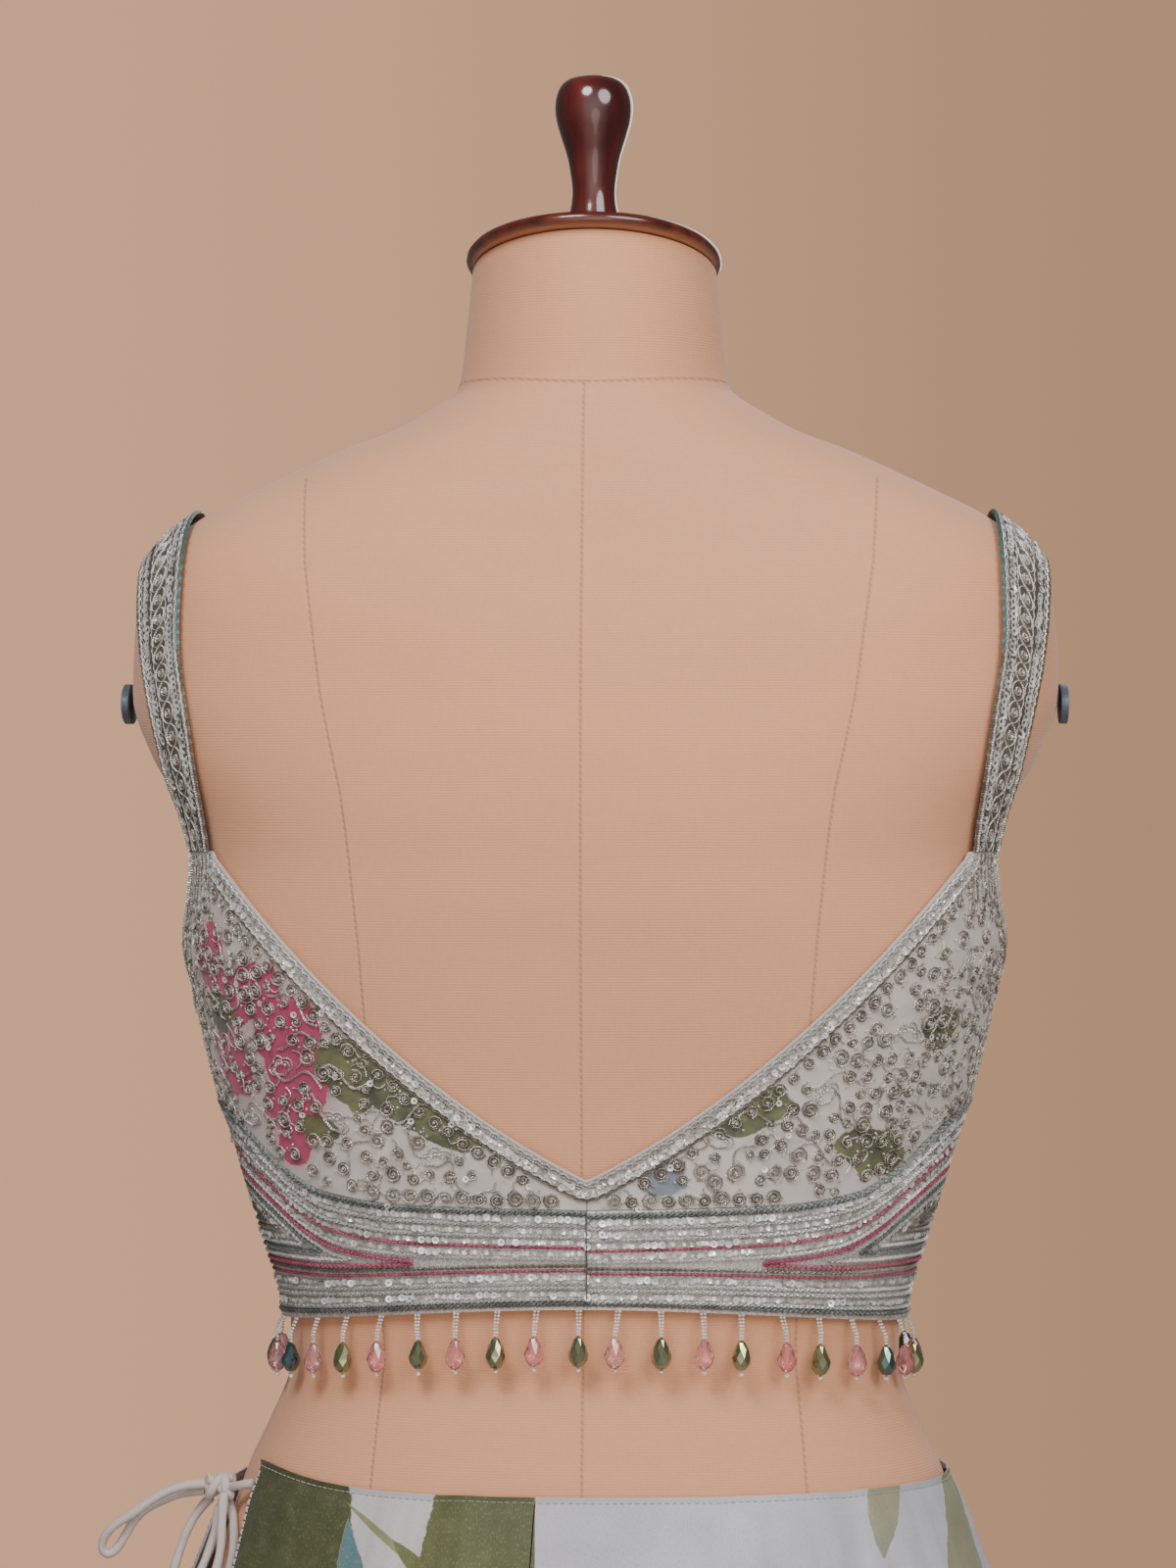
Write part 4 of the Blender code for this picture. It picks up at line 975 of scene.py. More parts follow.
def tie_knot():
    """Two wraps of the tube round the bow's middle, pulled tight."""
    heap = Heap()
    centre = np.array(KNOT_CENTRE) / 1000
    t = np.linspace(0, tau, 40, endpoint=False)
    for shift, tilt, wide in ((-0.0022, 0.35, 0.0042), (0.002, -0.3, 0.004)):
        wrap = np.stack([shift + 0.0012 * np.sin(t + tilt), wide * np.cos(t), wide * np.sin(t)], axis=1)
        wrap[:, 0] += wrap[:, 2] * tilt
        heap.tube(centre + wrap, unit(wrap * [0, 1, 1]), 0.0019, sides=12, closed=True)
    cross = np.stack([np.linspace(-0.0055, 0.0055, 14), 0.001 * np.sin(np.linspace(0, 6, 14)) - 0.0026,
                      0.0034 * np.cos(np.linspace(0.2, 2.9, 14))], axis=1)
    out = np.tile([0.0, -1.0, 0.1], (14, 1))
    heap.tube(centre + cross, out, 0.0021, sides=12)
    heap.tube(centre + cross * [1, -0.6, -1], out, 0.0022, sides=12)
    return place(heap.build("cord_knot", ["cord"], 60, fix=True), "drawstring", "drawstring_knot")


class LEHENGA_OT_drawstring(Maker, bpy.types.Operator):
    """Drawstring: leads, knot, two bow loops and two tails"""
    bl_idname = "lehenga.drawstring"
    bl_label = "Drawstring"

    def make(self):
        leads = [soft_tube(name)[0] for name in ("lead_back", "lead_front")]
        knot = tie_knot()
        for name in ("loop_left", "loop_hanging", "tail_left", "tail_back"):
            tail = name.startswith("tail")
            cord, path, length = soft_tube(name, tail)


# Dress form and stand


def seam_fields(points):
    """Distances, plus or minus, from each sewn seam of the form's cover."""
    x, y, z = points[..., 0], points[..., 1], points[..., 2]
    heights = [0.82, 0.98, 1.045, 1.07, 1.1, 1.2, 1.27, 1.308, 1.331, 1.3465, 1.37, 1.424, 1.462]
    back = [0.08, 0.086, 0.089, 0.087, 0.084, 0.087, 0.0925, 0.0965, 0.0995, 0.103, 0.108, 0.1155, 0.118]
    front = [0.078, 0.084, 0.086, 0.086, 0.084, 0.082, 0.08, 0.081, 0.082, 0.084, 0.088, 0.098, 0.104]
    princess = np.where(y < 0, np.interp(z, heights, back), np.interp(z, heights, front))
    return {
        "seam_princess": np.where(z < 1.4635, np.abs(x) - princess, 1.0),
        "seam_middle": np.where((z < NECK_SEAM) & (y < 0), x + 0.0022, 1.0),
        "seam_neck": z - NECK_SEAM - 0.002 + 0.0034 * np.exp(-(x / 0.04) ** 2),
        "seam_side": np.where(z < 1.31, y, 1.0),
    }


class LEHENGA_OT_form(Maker, bpy.types.Operator):
    """Knit-covered body of the dress form"""
    bl_idname = "lehenga.form"
    bl_label = "Dress form"

    def make(self):
        heights = np.concatenate([np.linspace(FORM_FOOT, 1.43, 108), np.linspace(1.434, NECK_TOP, 40)])
        angles = np.radians(np.arange(0, 360, 2.0))
        grid = on_body(angles[:, None], heights[None, :], -FORM_INSET)
        grid[..., 2] = heights[None, :]
        ease = BUST_EASE * bust(grid[..., 0], grid[..., 2])
        grid[..., 1] -= ease * np.maximum(0.0, np.sin(angles))[:, None]
        seams = seam_fields(grid)
        up = np.clip((heights - NECK_SEAM) / (NECK_TOP - NECK_SEAM), 0, 1)
        grid[..., 2] -= tan(radians(CAP_TILT_DEG)) * up * (grid[..., 1] - NECK_CENTRE_Y)
        heap = Heap()
        heap.grid(grid, wrap=True)
        n = len(heights)
        count = len(angles) * n
        heap.add([grid[:, 0].mean(axis=0), grid[:, -1].mean(axis=0)], [])
        for k in range(len(angles)):
            m = (k + 1) % len(angles)
            heap.faces.append((k * n, m * n, count))
            heap.faces.append((m * n + n - 1, k * n + n - 1, count + 1))
            heap.slots += [0, 0]
        fields = {key: np.concatenate([field.ravel(), [1.0, 1.0]]) for key, field in seams.items()}
        place(heap.build("form_cover", ["knit"], 60, fields, fix=True), "form_knit", "form_body")


def turned_profile(name, profile, steps):
    """A turned piece: a run of edges extruded as a profile, then spun round the upright axis."""
    made = fresh(bpy.ops.mesh.primitive_plane_add, name, size=0.001, location=(0, 0, 0))
    mode("EDIT")
    bpy.ops.mesh.select_all(action="SELECT")
    bpy.ops.mesh.merge(type="CENTER")
    radius, height = profile[0]
    bpy.ops.transform.translate(value=(0, 0, height))
    bpy.ops.mesh.extrude_region_move(TRANSFORM_OT_translate={"value": (radius, 0, 0)})
    for (r0, z0), (r1, z1) in zip(profile, profile[1:]):
        bpy.ops.mesh.extrude_region_move(TRANSFORM_OT_translate={"value": (r1 - r0, 0, z1 - z0)})
    bpy.ops.mesh.extrude_region_move(TRANSFORM_OT_translate={"value": (-profile[-1][0], 0, 0)})
    bpy.ops.mesh.select_all(action="SELECT")
    bpy.ops.mesh.spin(steps=steps, angle=tau, center=(0, 0, 0), axis=(0, 0, 1))
    bpy.ops.mesh.select_all(action="SELECT")
    bpy.ops.mesh.remove_doubles(threshold=0.00001)
    bpy.ops.mesh.normals_make_consistent(inside=False)
    mode("OBJECT")
    return made


def smooth_profile(points, per):
    """A smooth line through radius and height pairs."""
    return spline(np.array([points[0], *points, points[-1]]), per).tolist()


FINIAL = ((0.0102, 0.0), (0.0116, 0.0014), (0.0119, 0.0035), (0.0112, 0.009), (0.0102, 0.015),
          (0.0093, 0.02), (0.0091, 0.025), (0.0098, 0.031), (0.0112, 0.0385), (0.0137, 0.0465),
          (0.0157, 0.0535), (0.0163, 0.059), (0.0157, 0.064), (0.0138, 0.0683), (0.0104, 0.071),
          (0.0055, 0.0722))


def dress(made, slot, node, finish):
    made.data.materials.append(FINISHES[finish])
    bpy.ops.object.shade_smooth_by_angle(angle=radians(40))
    place(made, slot, node)


def make_finial():
    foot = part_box("finial")[0][2]
    made = turned_profile("turned_finial", smooth_profile(FINIAL, 4), 72)
    for vert in made.data.vertices:
        vert.co += Vector((0, NECK_CENTRE_Y, foot))
    dress(made, "form_wood", "finial", "wood")


def make_cap():
    """Oval plate with a rounded rim, on the neck's tilt, with a painted warm highlight on its lower edge."""
    rim = [(0.0, -0.5), (0.9, -0.5), (0.955, -0.47), (0.985, -0.34), (1.0, -0.08), (0.995, 0.2),
           (0.975, 0.42), (0.93, 0.5), (0.5, 0.56), (0.0, 0.6)]
    turns = np.radians(np.arange(0, 360, 3.0))
    tilt = radians(CAP_TILT_DEG)
    middle = NECK_TOP + 0.003 + 2 * SEAM_GAP
    columns = []
    for r, h in rim:
        x = 0.0535 * r * np.cos(turns)
        y = 0.0575 * r * np.sin(turns)
        z = np.full(len(turns), 0.006 * min(h, 0.5))
        columns.append(np.stack([x, NECK_CENTRE_Y + y * cos(tilt) + z * sin(tilt),
                                 middle - y * sin(tilt) + z * cos(tilt)], axis=1))
    grid = np.stack(columns, axis=1)
    heap = Heap()
    # painted highlight: share of the warm tint on each ring of the rim, strongest underneath
    painted_underside_light = np.array([1.0, 0.9, 0.55, 0.18, 0, 0, 0, 0, 0, 0])
    heap.grid(grid, wrap=True, tint=np.tile(painted_underside_light, len(turns)))
    place(heap.build("cap_plate", ["rim"], 40, fix=True, weld=True), "form_wood", "neck_cap")


def make_arm_plate(side, name):
    """Oval plastic plate with a rounded edge and a small screw boss."""
    low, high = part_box("arm_plate_" + name)
    thick = high[0] - low[0]
    made = fresh(bpy.ops.mesh.primitive_cylinder_add, "plate_" + name, vertices=40, radius=1.0,
                 depth=thick * 0.999)
    mode("EDIT")
    bpy.ops.mesh.select_all(action="DESELECT")
    mode("OBJECT")
    for face in made.data.polygons:
        face.select = face.normal.z > 0.9
    mode("EDIT")
    bpy.ops.mesh.inset(thickness=0.12, depth=0)
    bpy.ops.mesh.inset(thickness=0.48, depth=-thick * 0.2)
    bpy.ops.mesh.inset(thickness=0.06, depth=thick * 0.15)
    mode("OBJECT")
    centre = [(a + b) / 2 for a, b in zip(low, high)]
    for vert in made.data.vertices:
        x, y, z = vert.co
        vert.co = (centre[0] + z * side, centre[1] + y * 0.0168, centre[2] + x * side * -0.0084)
    bevel = made.modifiers.new("edge", "BEVEL")
    bevel.width = 0.0003
    bevel.segments = 2
    bevel.limit_method = "ANGLE"
    bpy.ops.object.modifier_apply(modifier="edge")
    dress(made, "arm_plate", "arm_plate_" + name, "plate")


def make_pole():
    """Steel tube with a clamping collar under the form."""
    low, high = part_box("stand_pole")
    r = (high[0] - low[0]) / 2
    profile = [(r - 0.0008, low[2]), (r, low[2] + 0.0008), (r, 0.76), (r + 0.0035, 0.7605), (r + 0.004, 0.762),
               (r + 0.004, 0.79), (r + 0.0035, 0.7915), (r, 0.792), (r, high[2] - 0.0008),
               (r - 0.0008, high[2])]
    made = turned_profile("steel_pole", profile, 48)
    dress(made, "stand_steel", "stand_pole", "steel")


def make_base():
    """Round wooden base with a rounded foot and a turned step."""
    profile = [(0.1765, 0.0), (0.179, 0.0008), (0.18, 0.003), (0.18, 0.0088), (0.179, 0.0108),
               (0.1765, 0.0124), (0.17, 0.0158), (0.169, 0.0166), (0.167, 0.0168), (0.09, 0.0192),
               (0.06, 0.02), (0.034, 0.0246), (0.031, 0.0256), (0.029, 0.026)]
    made = turned_profile("wooden_base", profile, 120)
    dress(made, "form_wood", "stand_base", "wood")
    bpy.ops.object.select_all(action="DESELECT")


class LEHENGA_OT_stand(Maker, bpy.types.Operator):
    """Wooden neck cap, finial, arm plates, pole and base"""
    bl_idname = "lehenga.stand"
    bl_label = "Cap, finial and stand"

    def make(self):
        make_finial()
        make_cap()
        for side, name in ((-1, "left"), (1, "right")):
            make_arm_plate(side, name)
        make_pole()
        make_base()


# Choli cloth


PANELS = (("choli_front_centre", 60, 120), ("choli_front_side_right", 0, 60), ("choli_front_side_left", 120, 180),
          ("choli_back_left", 180, 270), ("choli_back_right", 270, 360))
PATCHES = {kind: table("arc height wide tall tilt", *rows) for kind, rows in {
    "pink": ((-168, 1262, 11, 16, 0), (-144, 1249, 18, 12, 10), (-126, 1235, 18, 15, 20), (-122, 1213, 18, 22, 0),
        (-158, 1221, 13, 17, 0), (-124, 1187, 9, 8, 0), (230, 1262, 30, 24, 10), (330, 1226, 26, 20, 20),
        (-276, 1238, 28, 24, -15), (-362, 1252, 20, 18, 0)),
    "green": ((-92, 1217, 21, 14, -20), (-72, 1206, 20, 10, -30), (-55, 1194, 14, 7, -10), (-111, 1195, 11, 5, -15),
        (-163, 1241, 9, 9, 40), (66, 1202, 18, 8, 24), (118, 1186, 18, 10, -20), (150, 1236, 12, 9, 30),
        (270, 1232, 28, 14, -25), (392, 1200, 26, 13, 22), (-236, 1270, 26, 13, 28), (-325, 1212, 26, 12, -20)),
    "blue": ((-20, 1185, 7, 7, 0), (30, 1176, 10, 8, 0), (360, 1262, 14, 12, 0), (-230, 1205, 14, 10, 0)),
}.items()}


def patch_field(kind, arc, z):
    """Largest share of any watercolour patch of one kind, 1 at its middle."""
    found = np.zeros(np.shape(arc))
    for patch in PATCHES[kind]:
        a, b = turned(arc - patch.arc, z - patch.height, patch.tilt)
        found = np.maximum(found, np.exp(-((a / patch.wide) ** 2 + (b / patch.tall) ** 2)))
    return found


CREASES = table(
    "angle height long wide deep tilt",
    (186, 1250, 34, 4, 1.1, 28), (190, 1238, 28, 3.6, 0.9, 34), (354, 1256, 32, 3.8, 1.2, -30),
    (350, 1246, 26, 3.6, 1, -36), (347, 1286, 20, 3.2, 1, -55), (176, 1248, 30, 4, 1, -26),
    (4, 1252, 30, 4, 1.1, 28), (12, 1240, 24, 3.6, 0.8, 20), (168, 1236, 26, 3.6, 0.8, -22),
    (214, 1212, 30, 4, 0.6, 40), (322, 1214, 28, 4, 0.6, -40),
)


def crease_lift(angle, z):
    """Soft troughs that run in from the underarms, with a low ridge beside each."""
    lift = np.zeros(np.broadcast(angle, z).shape)
    for c in CREASES:
        turn = (np.degrees(angle) - c.angle + 180) % 360 - 180
        a, b = turned(np.radians(turn) * 0.11, z - c.height, c.tilt)
        b = b / c.wide
        ridge = 0.55 * np.exp(-(b - 1.7) ** 2)
        lift = lift - c.deep * np.exp(-(a / c.long) ** 2 * 4) * (np.exp(-b * b) - ridge)
    return lift


def trimmed(start, end, count):
    """Angles from one seam to the next, clear of both."""
    trim = SEAM_GAP * 0.55 / 0.15
    return np.linspace(radians(start) + trim, radians(end) - trim, count)


def bodice_grid(start, end, across, rows, off):
    """Columns of a bodice panel from its top edge down to the band."""
    angles = trimmed(start, end, across)
    top = bodice_top(angles)
    low = band_top(angles) + SEAM_GAP / 2
    top = np.maximum(top, low + 0.004)
    share = np.linspace(0, 1, rows)
    z = top[:, None] + (low - top)[:, None] * share[None, :]
    lift = off + crease_lift(angles[:, None], z)
    return on_body(angles[:, None], z, np.maximum(lift, CLOTH_CLEAR + 0.0006)), z, arc_at(angles[:, None], z)


class LEHENGA_OT_choli(Maker, bpy.types.Operator):
    """Silk panels of the choli, as thin worn cloth"""
    bl_idname = "lehenga.choli"
    bl_label = "Choli panels"

    def make(self):
        for name, start, end in PANELS:
            across = int((end - start) * 1.1) + 2
            points, z, arc = bodice_grid(start, end, across, 46, CLOTH_OUT - 0.0002)
            fields = {kind: patch_field(kind, arc, z) for kind in PATCHES}
            whole = float(arc_at(radians(89.9), GIRTH_HEIGHT) * 2)
            arc = np.where((arc < 0) & (start < 90), arc + whole, arc)
            heap = Heap()
            heap.grid(points, np.stack([arc, z], axis=-1), thick=0.0007)
            made = heap.build("silk_" + name[6:], ["silk"], 60, fields, fix=True)
            place(made, "choli_silk", name)


# Trims that follow an edge


EDGE_RUNS = {"neck_back": (210, 330, 361), "neck_front": (142.5, 37.5, 241), "armhole_left": (150, 195, 161),
             "armhole_right": (345, 390, 161)}


def edge_run(kind):
    """Points along a top edge."""
    angles = np.radians(np.linspace(*EDGE_RUNS[kind]))
    return on_body(angles, bodice_top(angles), 0.0)


def inward_at(points):
    """The direction into the cloth and the way out, at each point of an edge."""
    out = unit(slope(points))
    along = unit(np.gradient(points, axis=0))
    side = np.cross(out, along)
    flip = np.where(side[:, 2:3] > 0, -1.0, 1.0)
    return side * flip, out


def beside(points, inset, off):
    """The edge moved into the cloth by inset and out from the form by off."""
    side, _ = inward_at(points)
    return settle(points + side * inset, off)


def ring(heap, centre, out, size, rng, slot=0, lean=0.35, hole=0.36, tint=None):
    """One ring sequin: a cupped disc with a hole, lying at a slight lean."""
    sides = 7
    out = unit(out + rng.normal(0, lean * 0.5, 3))
    side = unit(np.cross(out, [0.3, 0.2, 0.9]))
    other = np.cross(out, side)
    t = np.arange(sides) * tau / sides + rng.random()
    around = (np.cos(t)[:, None] * side + np.sin(t)[:, None] * other) * size / 2
    inner = centre + around * hole - out * size * 0.05
    points = np.concatenate([centre + around, inner, inner - out * 0.00025])
    faces = []
    for k in range(sides):
        m = (k + 1) % sides
        faces += [(k, m, sides + m, sides + k), (sides + k, sides + m, 2 * sides + m, 2 * sides + k),
                  (m, k, 2 * sides + k, 2 * sides + m)]
    heap.add(points, faces, tint=rng.random() if tint is None else tint, slot=slot)


def cup(heap, centre, out, size, rng, slot=0):
    """One small sequin of a close row: a six-sided dish."""
    out = unit(out + rng.normal(0, 0.25, 3))
    side = unit(np.cross(out, [0.3, 0.2, 0.9]))
    t = np.arange(6) * pi / 3 + rng.random()
    rim = centre + (np.cos(t)[:, None] * side + np.sin(t)[:, None] * np.cross(out, side)) * size / 2
    middle = centre - out * size * 0.1
    faces = [(k, (k + 1) % 6, 6) for k in range(6)] + [((k + 1) % 6, k, 7) for k in range(6)]
    heap.add(np.concatenate([rim, [middle, middle - out * 0.0003]]), faces, tint=rng.random(), slot=slot)


TRIM_FINISHES = ("piping", "silver", "sequin", "bronze", "slate", "gold")


def corner_rows(heap, first, last, rng):
    """Short upright rows that fill the corner below a strap's seam."""
    for k, turn in enumerate(np.arange(first + 0.8, last - 0.4, 0.9)):
        angle = radians(turn)
        top = float(bodice_top(angle)) - 0.0008
        line = on_body(angle, np.linspace(top, top - rng.uniform(0.016, 0.024), 14), CLOTH_OUT)
        heap.tube(line, unit(slope(line)), 0.00065, 4, slot=(1, 5, 1, 4)[k % 4], tint=rng.random())


def edge_trim(heap, edge, rng, scale):
    """Piping on the edge, then braid, two rows of sequins and two finer braids, inwards."""
    piping = beside(edge, 0.0004, CLOTH_OUT)
    heap.tube(piping, unit(slope(piping)), 0.0008, 6, slot=0)
    for inset, half, slot in ((0.0017, 0.00085, 1), (0.003, 0.0006, 1), (0.0073, 0.0007, 1),
                              (0.0084, 0.0006, 5)):
        line = evenly(beside(edge, inset * scale, CLOTH_OUT + 0.0003), 0.001)
        wave = np.sin(np.arange(len(line)) * pi / 2.0 + rng.random())
        side, out = inward_at(line)
        heap.tube(line + side * (wave * half * 0.4)[:, None], out, half * (1 + 0.3 * np.abs(wave)),
                  slot=slot, tint=rng.random(len(line) * 3))
    for inset in (0.0043, 0.006):
        line = evenly(beside(edge, inset * scale, CLOTH_OUT + 0.0005), 0.0013)
        side, out = inward_at(line)
        patchy = np.sin(np.arange(len(line)) * 0.21 + inset * 900) + rng.normal(0, 0.5, len(line))
        for k, point in enumerate(line):
            cup(heap, point + side[k] * rng.normal(0, 0.0003), out[k], 0.0021, rng, 3 if patchy[k] > -0.2 else 1)
    line = evenly(beside(edge, 0.0052 * scale, CLOTH_OUT + 0.0011), 0.0036)
    side, out = inward_at(line)
    for k, point in enumerate(line[1:-1], 1):
        if sin(k * 0.9) + rng.normal(0, 0.5) > 0.5:
            ring(heap, point + side[k] * rng.normal(0, 0.001), out[k], sizes().sequin_size, rng, slot=2,
                 tint=0.8, lean=0.5)


class LEHENGA_OT_borders(Maker, bpy.types.Operator):
    """Piping, braid and sequins along the neckline and armholes"""
    bl_idname = "lehenga.borders"
    bl_label = "Neckline and armhole borders"

    def make(self):
        rng = np.random.default_rng(11)
        runs = (("neck_back", 1.0, ("neck_border_back_left", "neck_border_back_right"),
                 ((194.5, 210.5), (329.5, 345.5))),
                ("neck_front", 1.0, ("neck_border_front",), ((29.5, 38.0), (142.0, 150.5))),
                ("armhole_left", 1.05, ("armhole_border_left",), ()),
                ("armhole_right", 1.05, ("armhole_border_right",), ()))
        for kind, scale, nodes, corners in runs:
            heap = Heap()
            edge_trim(heap, evenly(edge_run(kind), 0.0014), rng, scale)
            for first, last in corners:
                corner_rows(heap, first, last, rng)
            place(heap.build("border_" + kind, TRIM_FINISHES, 45), "braid", *nodes)


# Embroidery


def lay_path(angle, z, local, off):
    """Places a flat path, in metres, on the cloth round one point."""
    p = body_points(angle, z)
    out = unit(slope(p))
    level = unit(np.cross([0, 0, 1.0], out))
    upright = np.cross(out, level)
    flat = p + local[:, :1] * level + local[:, 1:2] * upright
    laid = settle(flat, off + crease_lift(angle, z))
    return laid, unit(slope(laid))


def rosette_paths(size, rng):
    """Two threads coiled side by side from the middle to the rim."""
    turns = rng.choice([1.5, 1.8, 2.1])
    t = np.linspace(0, 1, int(turns * 9))
    start = rng.random() * tau
    way = 1 if rng.random() < 0.5 else -1
    squash = 0.9 + 0.15 * rng.random()
    paths = []
    for shift in (0.0, pi):
        r = size / 2 * (0.12 + 0.88 * t)
        turn = start + shift + way * turns * tau * t
        paths.append(np.stack([r * np.cos(turn), r * np.sin(turn) * squash], axis=1))
    return paths


def scroll_path(length, rise, rng):
    """A curling tendril that ends in a small hook."""
    t = np.linspace(0, 1, 9)
    bend = rise * np.sin(t * pi * 1.15)
    hook = np.maximum(0, t - 0.72) ** 2 * rise * 9
    return np.stack([length * (t - 0.5) - hook * 0.4, bend - hook], axis=1) @ spin(rng.random() * tau)


def fan_path(size):
    """Outline of a three-lobed fan with its foot at the origin."""
    t = np.linspace(0, pi, 19)
    r = size * (0.78 + 0.22 * np.abs(np.sin(t * 3)))
    arc = np.stack([np.cos(t) * r, np.sin(t) * r], axis=1)
    return np.concatenate([[[0, -size * 0.25]], arc, [[0, -size * 0.25]]])


FANS = table(
    "arc height tilt",
    (-128, 1218, 20), (-104, 1196, -35), (-60, 1182, 10), (-160, 1226, 60), (52, 1190, -15), (98, 1208, 40),
    (132, 1232, -20), (150, 1196, 15), (-148, 1196, -10), (170, 1262, 30), (248, 1240, 0), (300, 1205, 30),
    (352, 1234, -30), (-262, 1222, 10), (-312, 1246, -25), (-350, 1210, 20), (395, 1226, 0), (-398, 1228, 0),
)
EMBROIDERY_FINISHES = ("antique", "gold", "sequin", "seed", "bronze")


def border_lines():
    """Top edges of the bodice all round, for keeping the motifs clear of the borders."""
    turns = np.radians(np.arange(0, 360, 0.5))
    rim = on_body(turns, bodice_top(turns), 0.0)
    side = from_side(turns)
    seam = np.where(np.sin(turns) > 0, (side > 30) & (side < 37.5), (side > 15) & (side < 30))
    return rim, np.where(seam, 0.001, np.where(side < 31, 0.0088, 0.009))


EDGE_RIM, EDGE_KEEP = border_lines()
EDGE_TURN = np.radians(np.arange(0, 721, 0.5))
EDGE_TOP = bodice_top(EDGE_TURN)
EDGE_LOW = band_top(EDGE_TURN)


def edge_room(angle, z):
    """Clear distance on the cloth from the borders, and above the band."""
    p = body_points(angle, z)
    clear = (np.linalg.norm(EDGE_RIM - p, axis=1) - EDGE_KEEP).min()
    inside = z < np.interp(angle, EDGE_TURN, EDGE_TOP)
    return clear if inside else -1.0, z - np.interp(angle, EDGE_TURN, EDGE_LOW) - 0.0006


def ball(heap, centre, half, slot, tint, tall=1.0):
    """A small faceted bead: two rings and two tips."""
    t = np.arange(6) * pi / 3
    c = np.asarray(centre)
    rings = [np.stack([np.cos(t + k * 0.5) * half * 0.92, np.sin(t + k * 0.5) * half * 0.92,
                       np.full(6, h * half * tall)], axis=1) + c for k, h in ((0, -0.42), (1, 0.42))]
    tips = [c + [0, 0, -half * tall], c + [0, 0, half * tall]]
    faces = [(k, (k + 1) % 6, 6 + (k + 1) % 6, 6 + k) for k in range(6)]
    faces += [((k + 1) % 6, k, 12) for k in range(6)] + [(6 + k, 6 + (k + 1) % 6, 13) for k in range(6)]
    heap.add(np.concatenate([*rings, tips]), faces, tint=tint, slot=slot)


def speck(heap, centre, half, slot, tint):
    """A tiny bead of eight faces."""
    tips = np.concatenate([np.eye(3), -np.eye(3)]) * half + centre
    faces = [(0, 1, 2), (1, 3, 2), (3, 4, 2), (4, 0, 2), (1, 0, 5), (3, 1, 5), (4, 3, 5), (0, 4, 5)]
    heap.add(tips, faces, tint=tint, slot=slot)


def rosette_spots(start, end, rng):
    """Middles of the rosettes: along the band, along the borders, then offset rows between them."""
    pitch = sizes().rosette_pitch
    found = []
    if start >= end:
        return found

    def offer(arc, z, size, least):
        angle = float(angle_at(arc, z))
        low, high = arc_at(np.radians([start + 0.6, end - 0.6]), z)
        near_fan = any(hypot(arc - f.arc, z - f.height - 0.004) < 0.0088 for f in FANS)
        if near_fan or min(edge_room(angle, z)) < size * 0.42 or not low < arc < high - pitch * 0.3:
            return
        if all(hypot(arc - a, z - h) > least for a, h, _ in found):
            found.append((arc, z, size))

    first, last = (float(arc_at(radians(a), GIRTH_HEIGHT)) for a in (start, end - 0.01))
    for arc in np.arange(first, last, 0.0012):
        size = pitch * rng.uniform(0.74, 1.0)
        foot = float(band_top(angle_at(arc, GIRTH_HEIGHT)))
        offer(arc, foot + 0.0006 + size * 0.45, size, pitch * 0.9)
    for arc in np.arange(first, last, 0.001):
        size = pitch * rng.uniform(0.66, 0.9)
        heights = np.arange(1.16, 1.33, 0.0012)
        rooms = [edge_room(float(angle_at(arc, z)), z)[0] for z in heights]
        fits = [z for z, room in zip(heights, rooms) if size * 0.43 < room < size * 0.62]
        for z in fits[-1:]:
            offer(arc, z, size, pitch * 0.86)
    for row, z in enumerate(np.arange(1.15, 1.335, pitch * 0.86)):
        low, high = arc_at(np.radians([start + 0.6, end - 0.6]), z)
        for arc in np.arange(low + pitch * (0.5 + 0.5 * (row % 2)), high, pitch):
            shake = rng.normal(0, pitch * 0.13, 2)
            offer(arc + shake[0], z + shake[1], pitch * rng.uniform(0.66, 1.08), pitch * 0.8)
    for _ in range(int((last - first) * 6000)):
        offer(rng.uniform(first, last), rng.uniform(1.16, 1.33), pitch * rng.uniform(0.46, 0.62), pitch * 0.7)
    return [(float(angle_at(arc, z)), z, size) for arc, z, size in found]


def add_rosette(heap, angle, z, size, rng):
    """A coiled rosette of a light and a dark thread, the dark one a bronze thread that also stands for painted shade
    between the light coils, some with a tendril, a sequin or beads.
    """
    half = sizes().thread_half
    lift = CLOTH_OUT + half * 0.6
    light, dark = rosette_paths(size, rng)
    # the dark, lower coil is a bronze thread and also painted shade between the light coils
    paths = [(light, half, 0.0003, 0), (dark, half, 0.0, 1)]
    if rng.random() < 0.42:
        turn = rng.random() * tau
        shift = np.array([cos(turn), sin(turn)]) * size * 0.62
        scroll = scroll_path(size * rng.uniform(1.1, 1.6), size * 0.45, rng) * 0.8 + shift
        paths.append((scroll, half * 0.95, 0.0001, 0))
    for path, wide, rise, slot in paths:
        laid, out = lay_path(angle, z, path, lift + rise)
        heap.tube(laid, out, wide, tint=rng.random(), slot=slot)
    extras = rng.random(4)
    turns = rng.random(4) * tau
    local = np.stack([np.cos(turns), np.sin(turns)], axis=1) * size * 0.66
    local[3] = 0
    laid, out = lay_path(angle, z, local, lift + 0.0005)
    if extras[0] < 0.13:
        ring(heap, laid[0] + out[0] * 0.0003, out[0], sizes().sequin_size, rng, slot=2)
    for k in (1, 2, 3):
        if extras[k] < 0.75:
            speck(heap, laid[k], 0.0006, (4, 3)[int(extras[k] < 0.3)], rng.random())


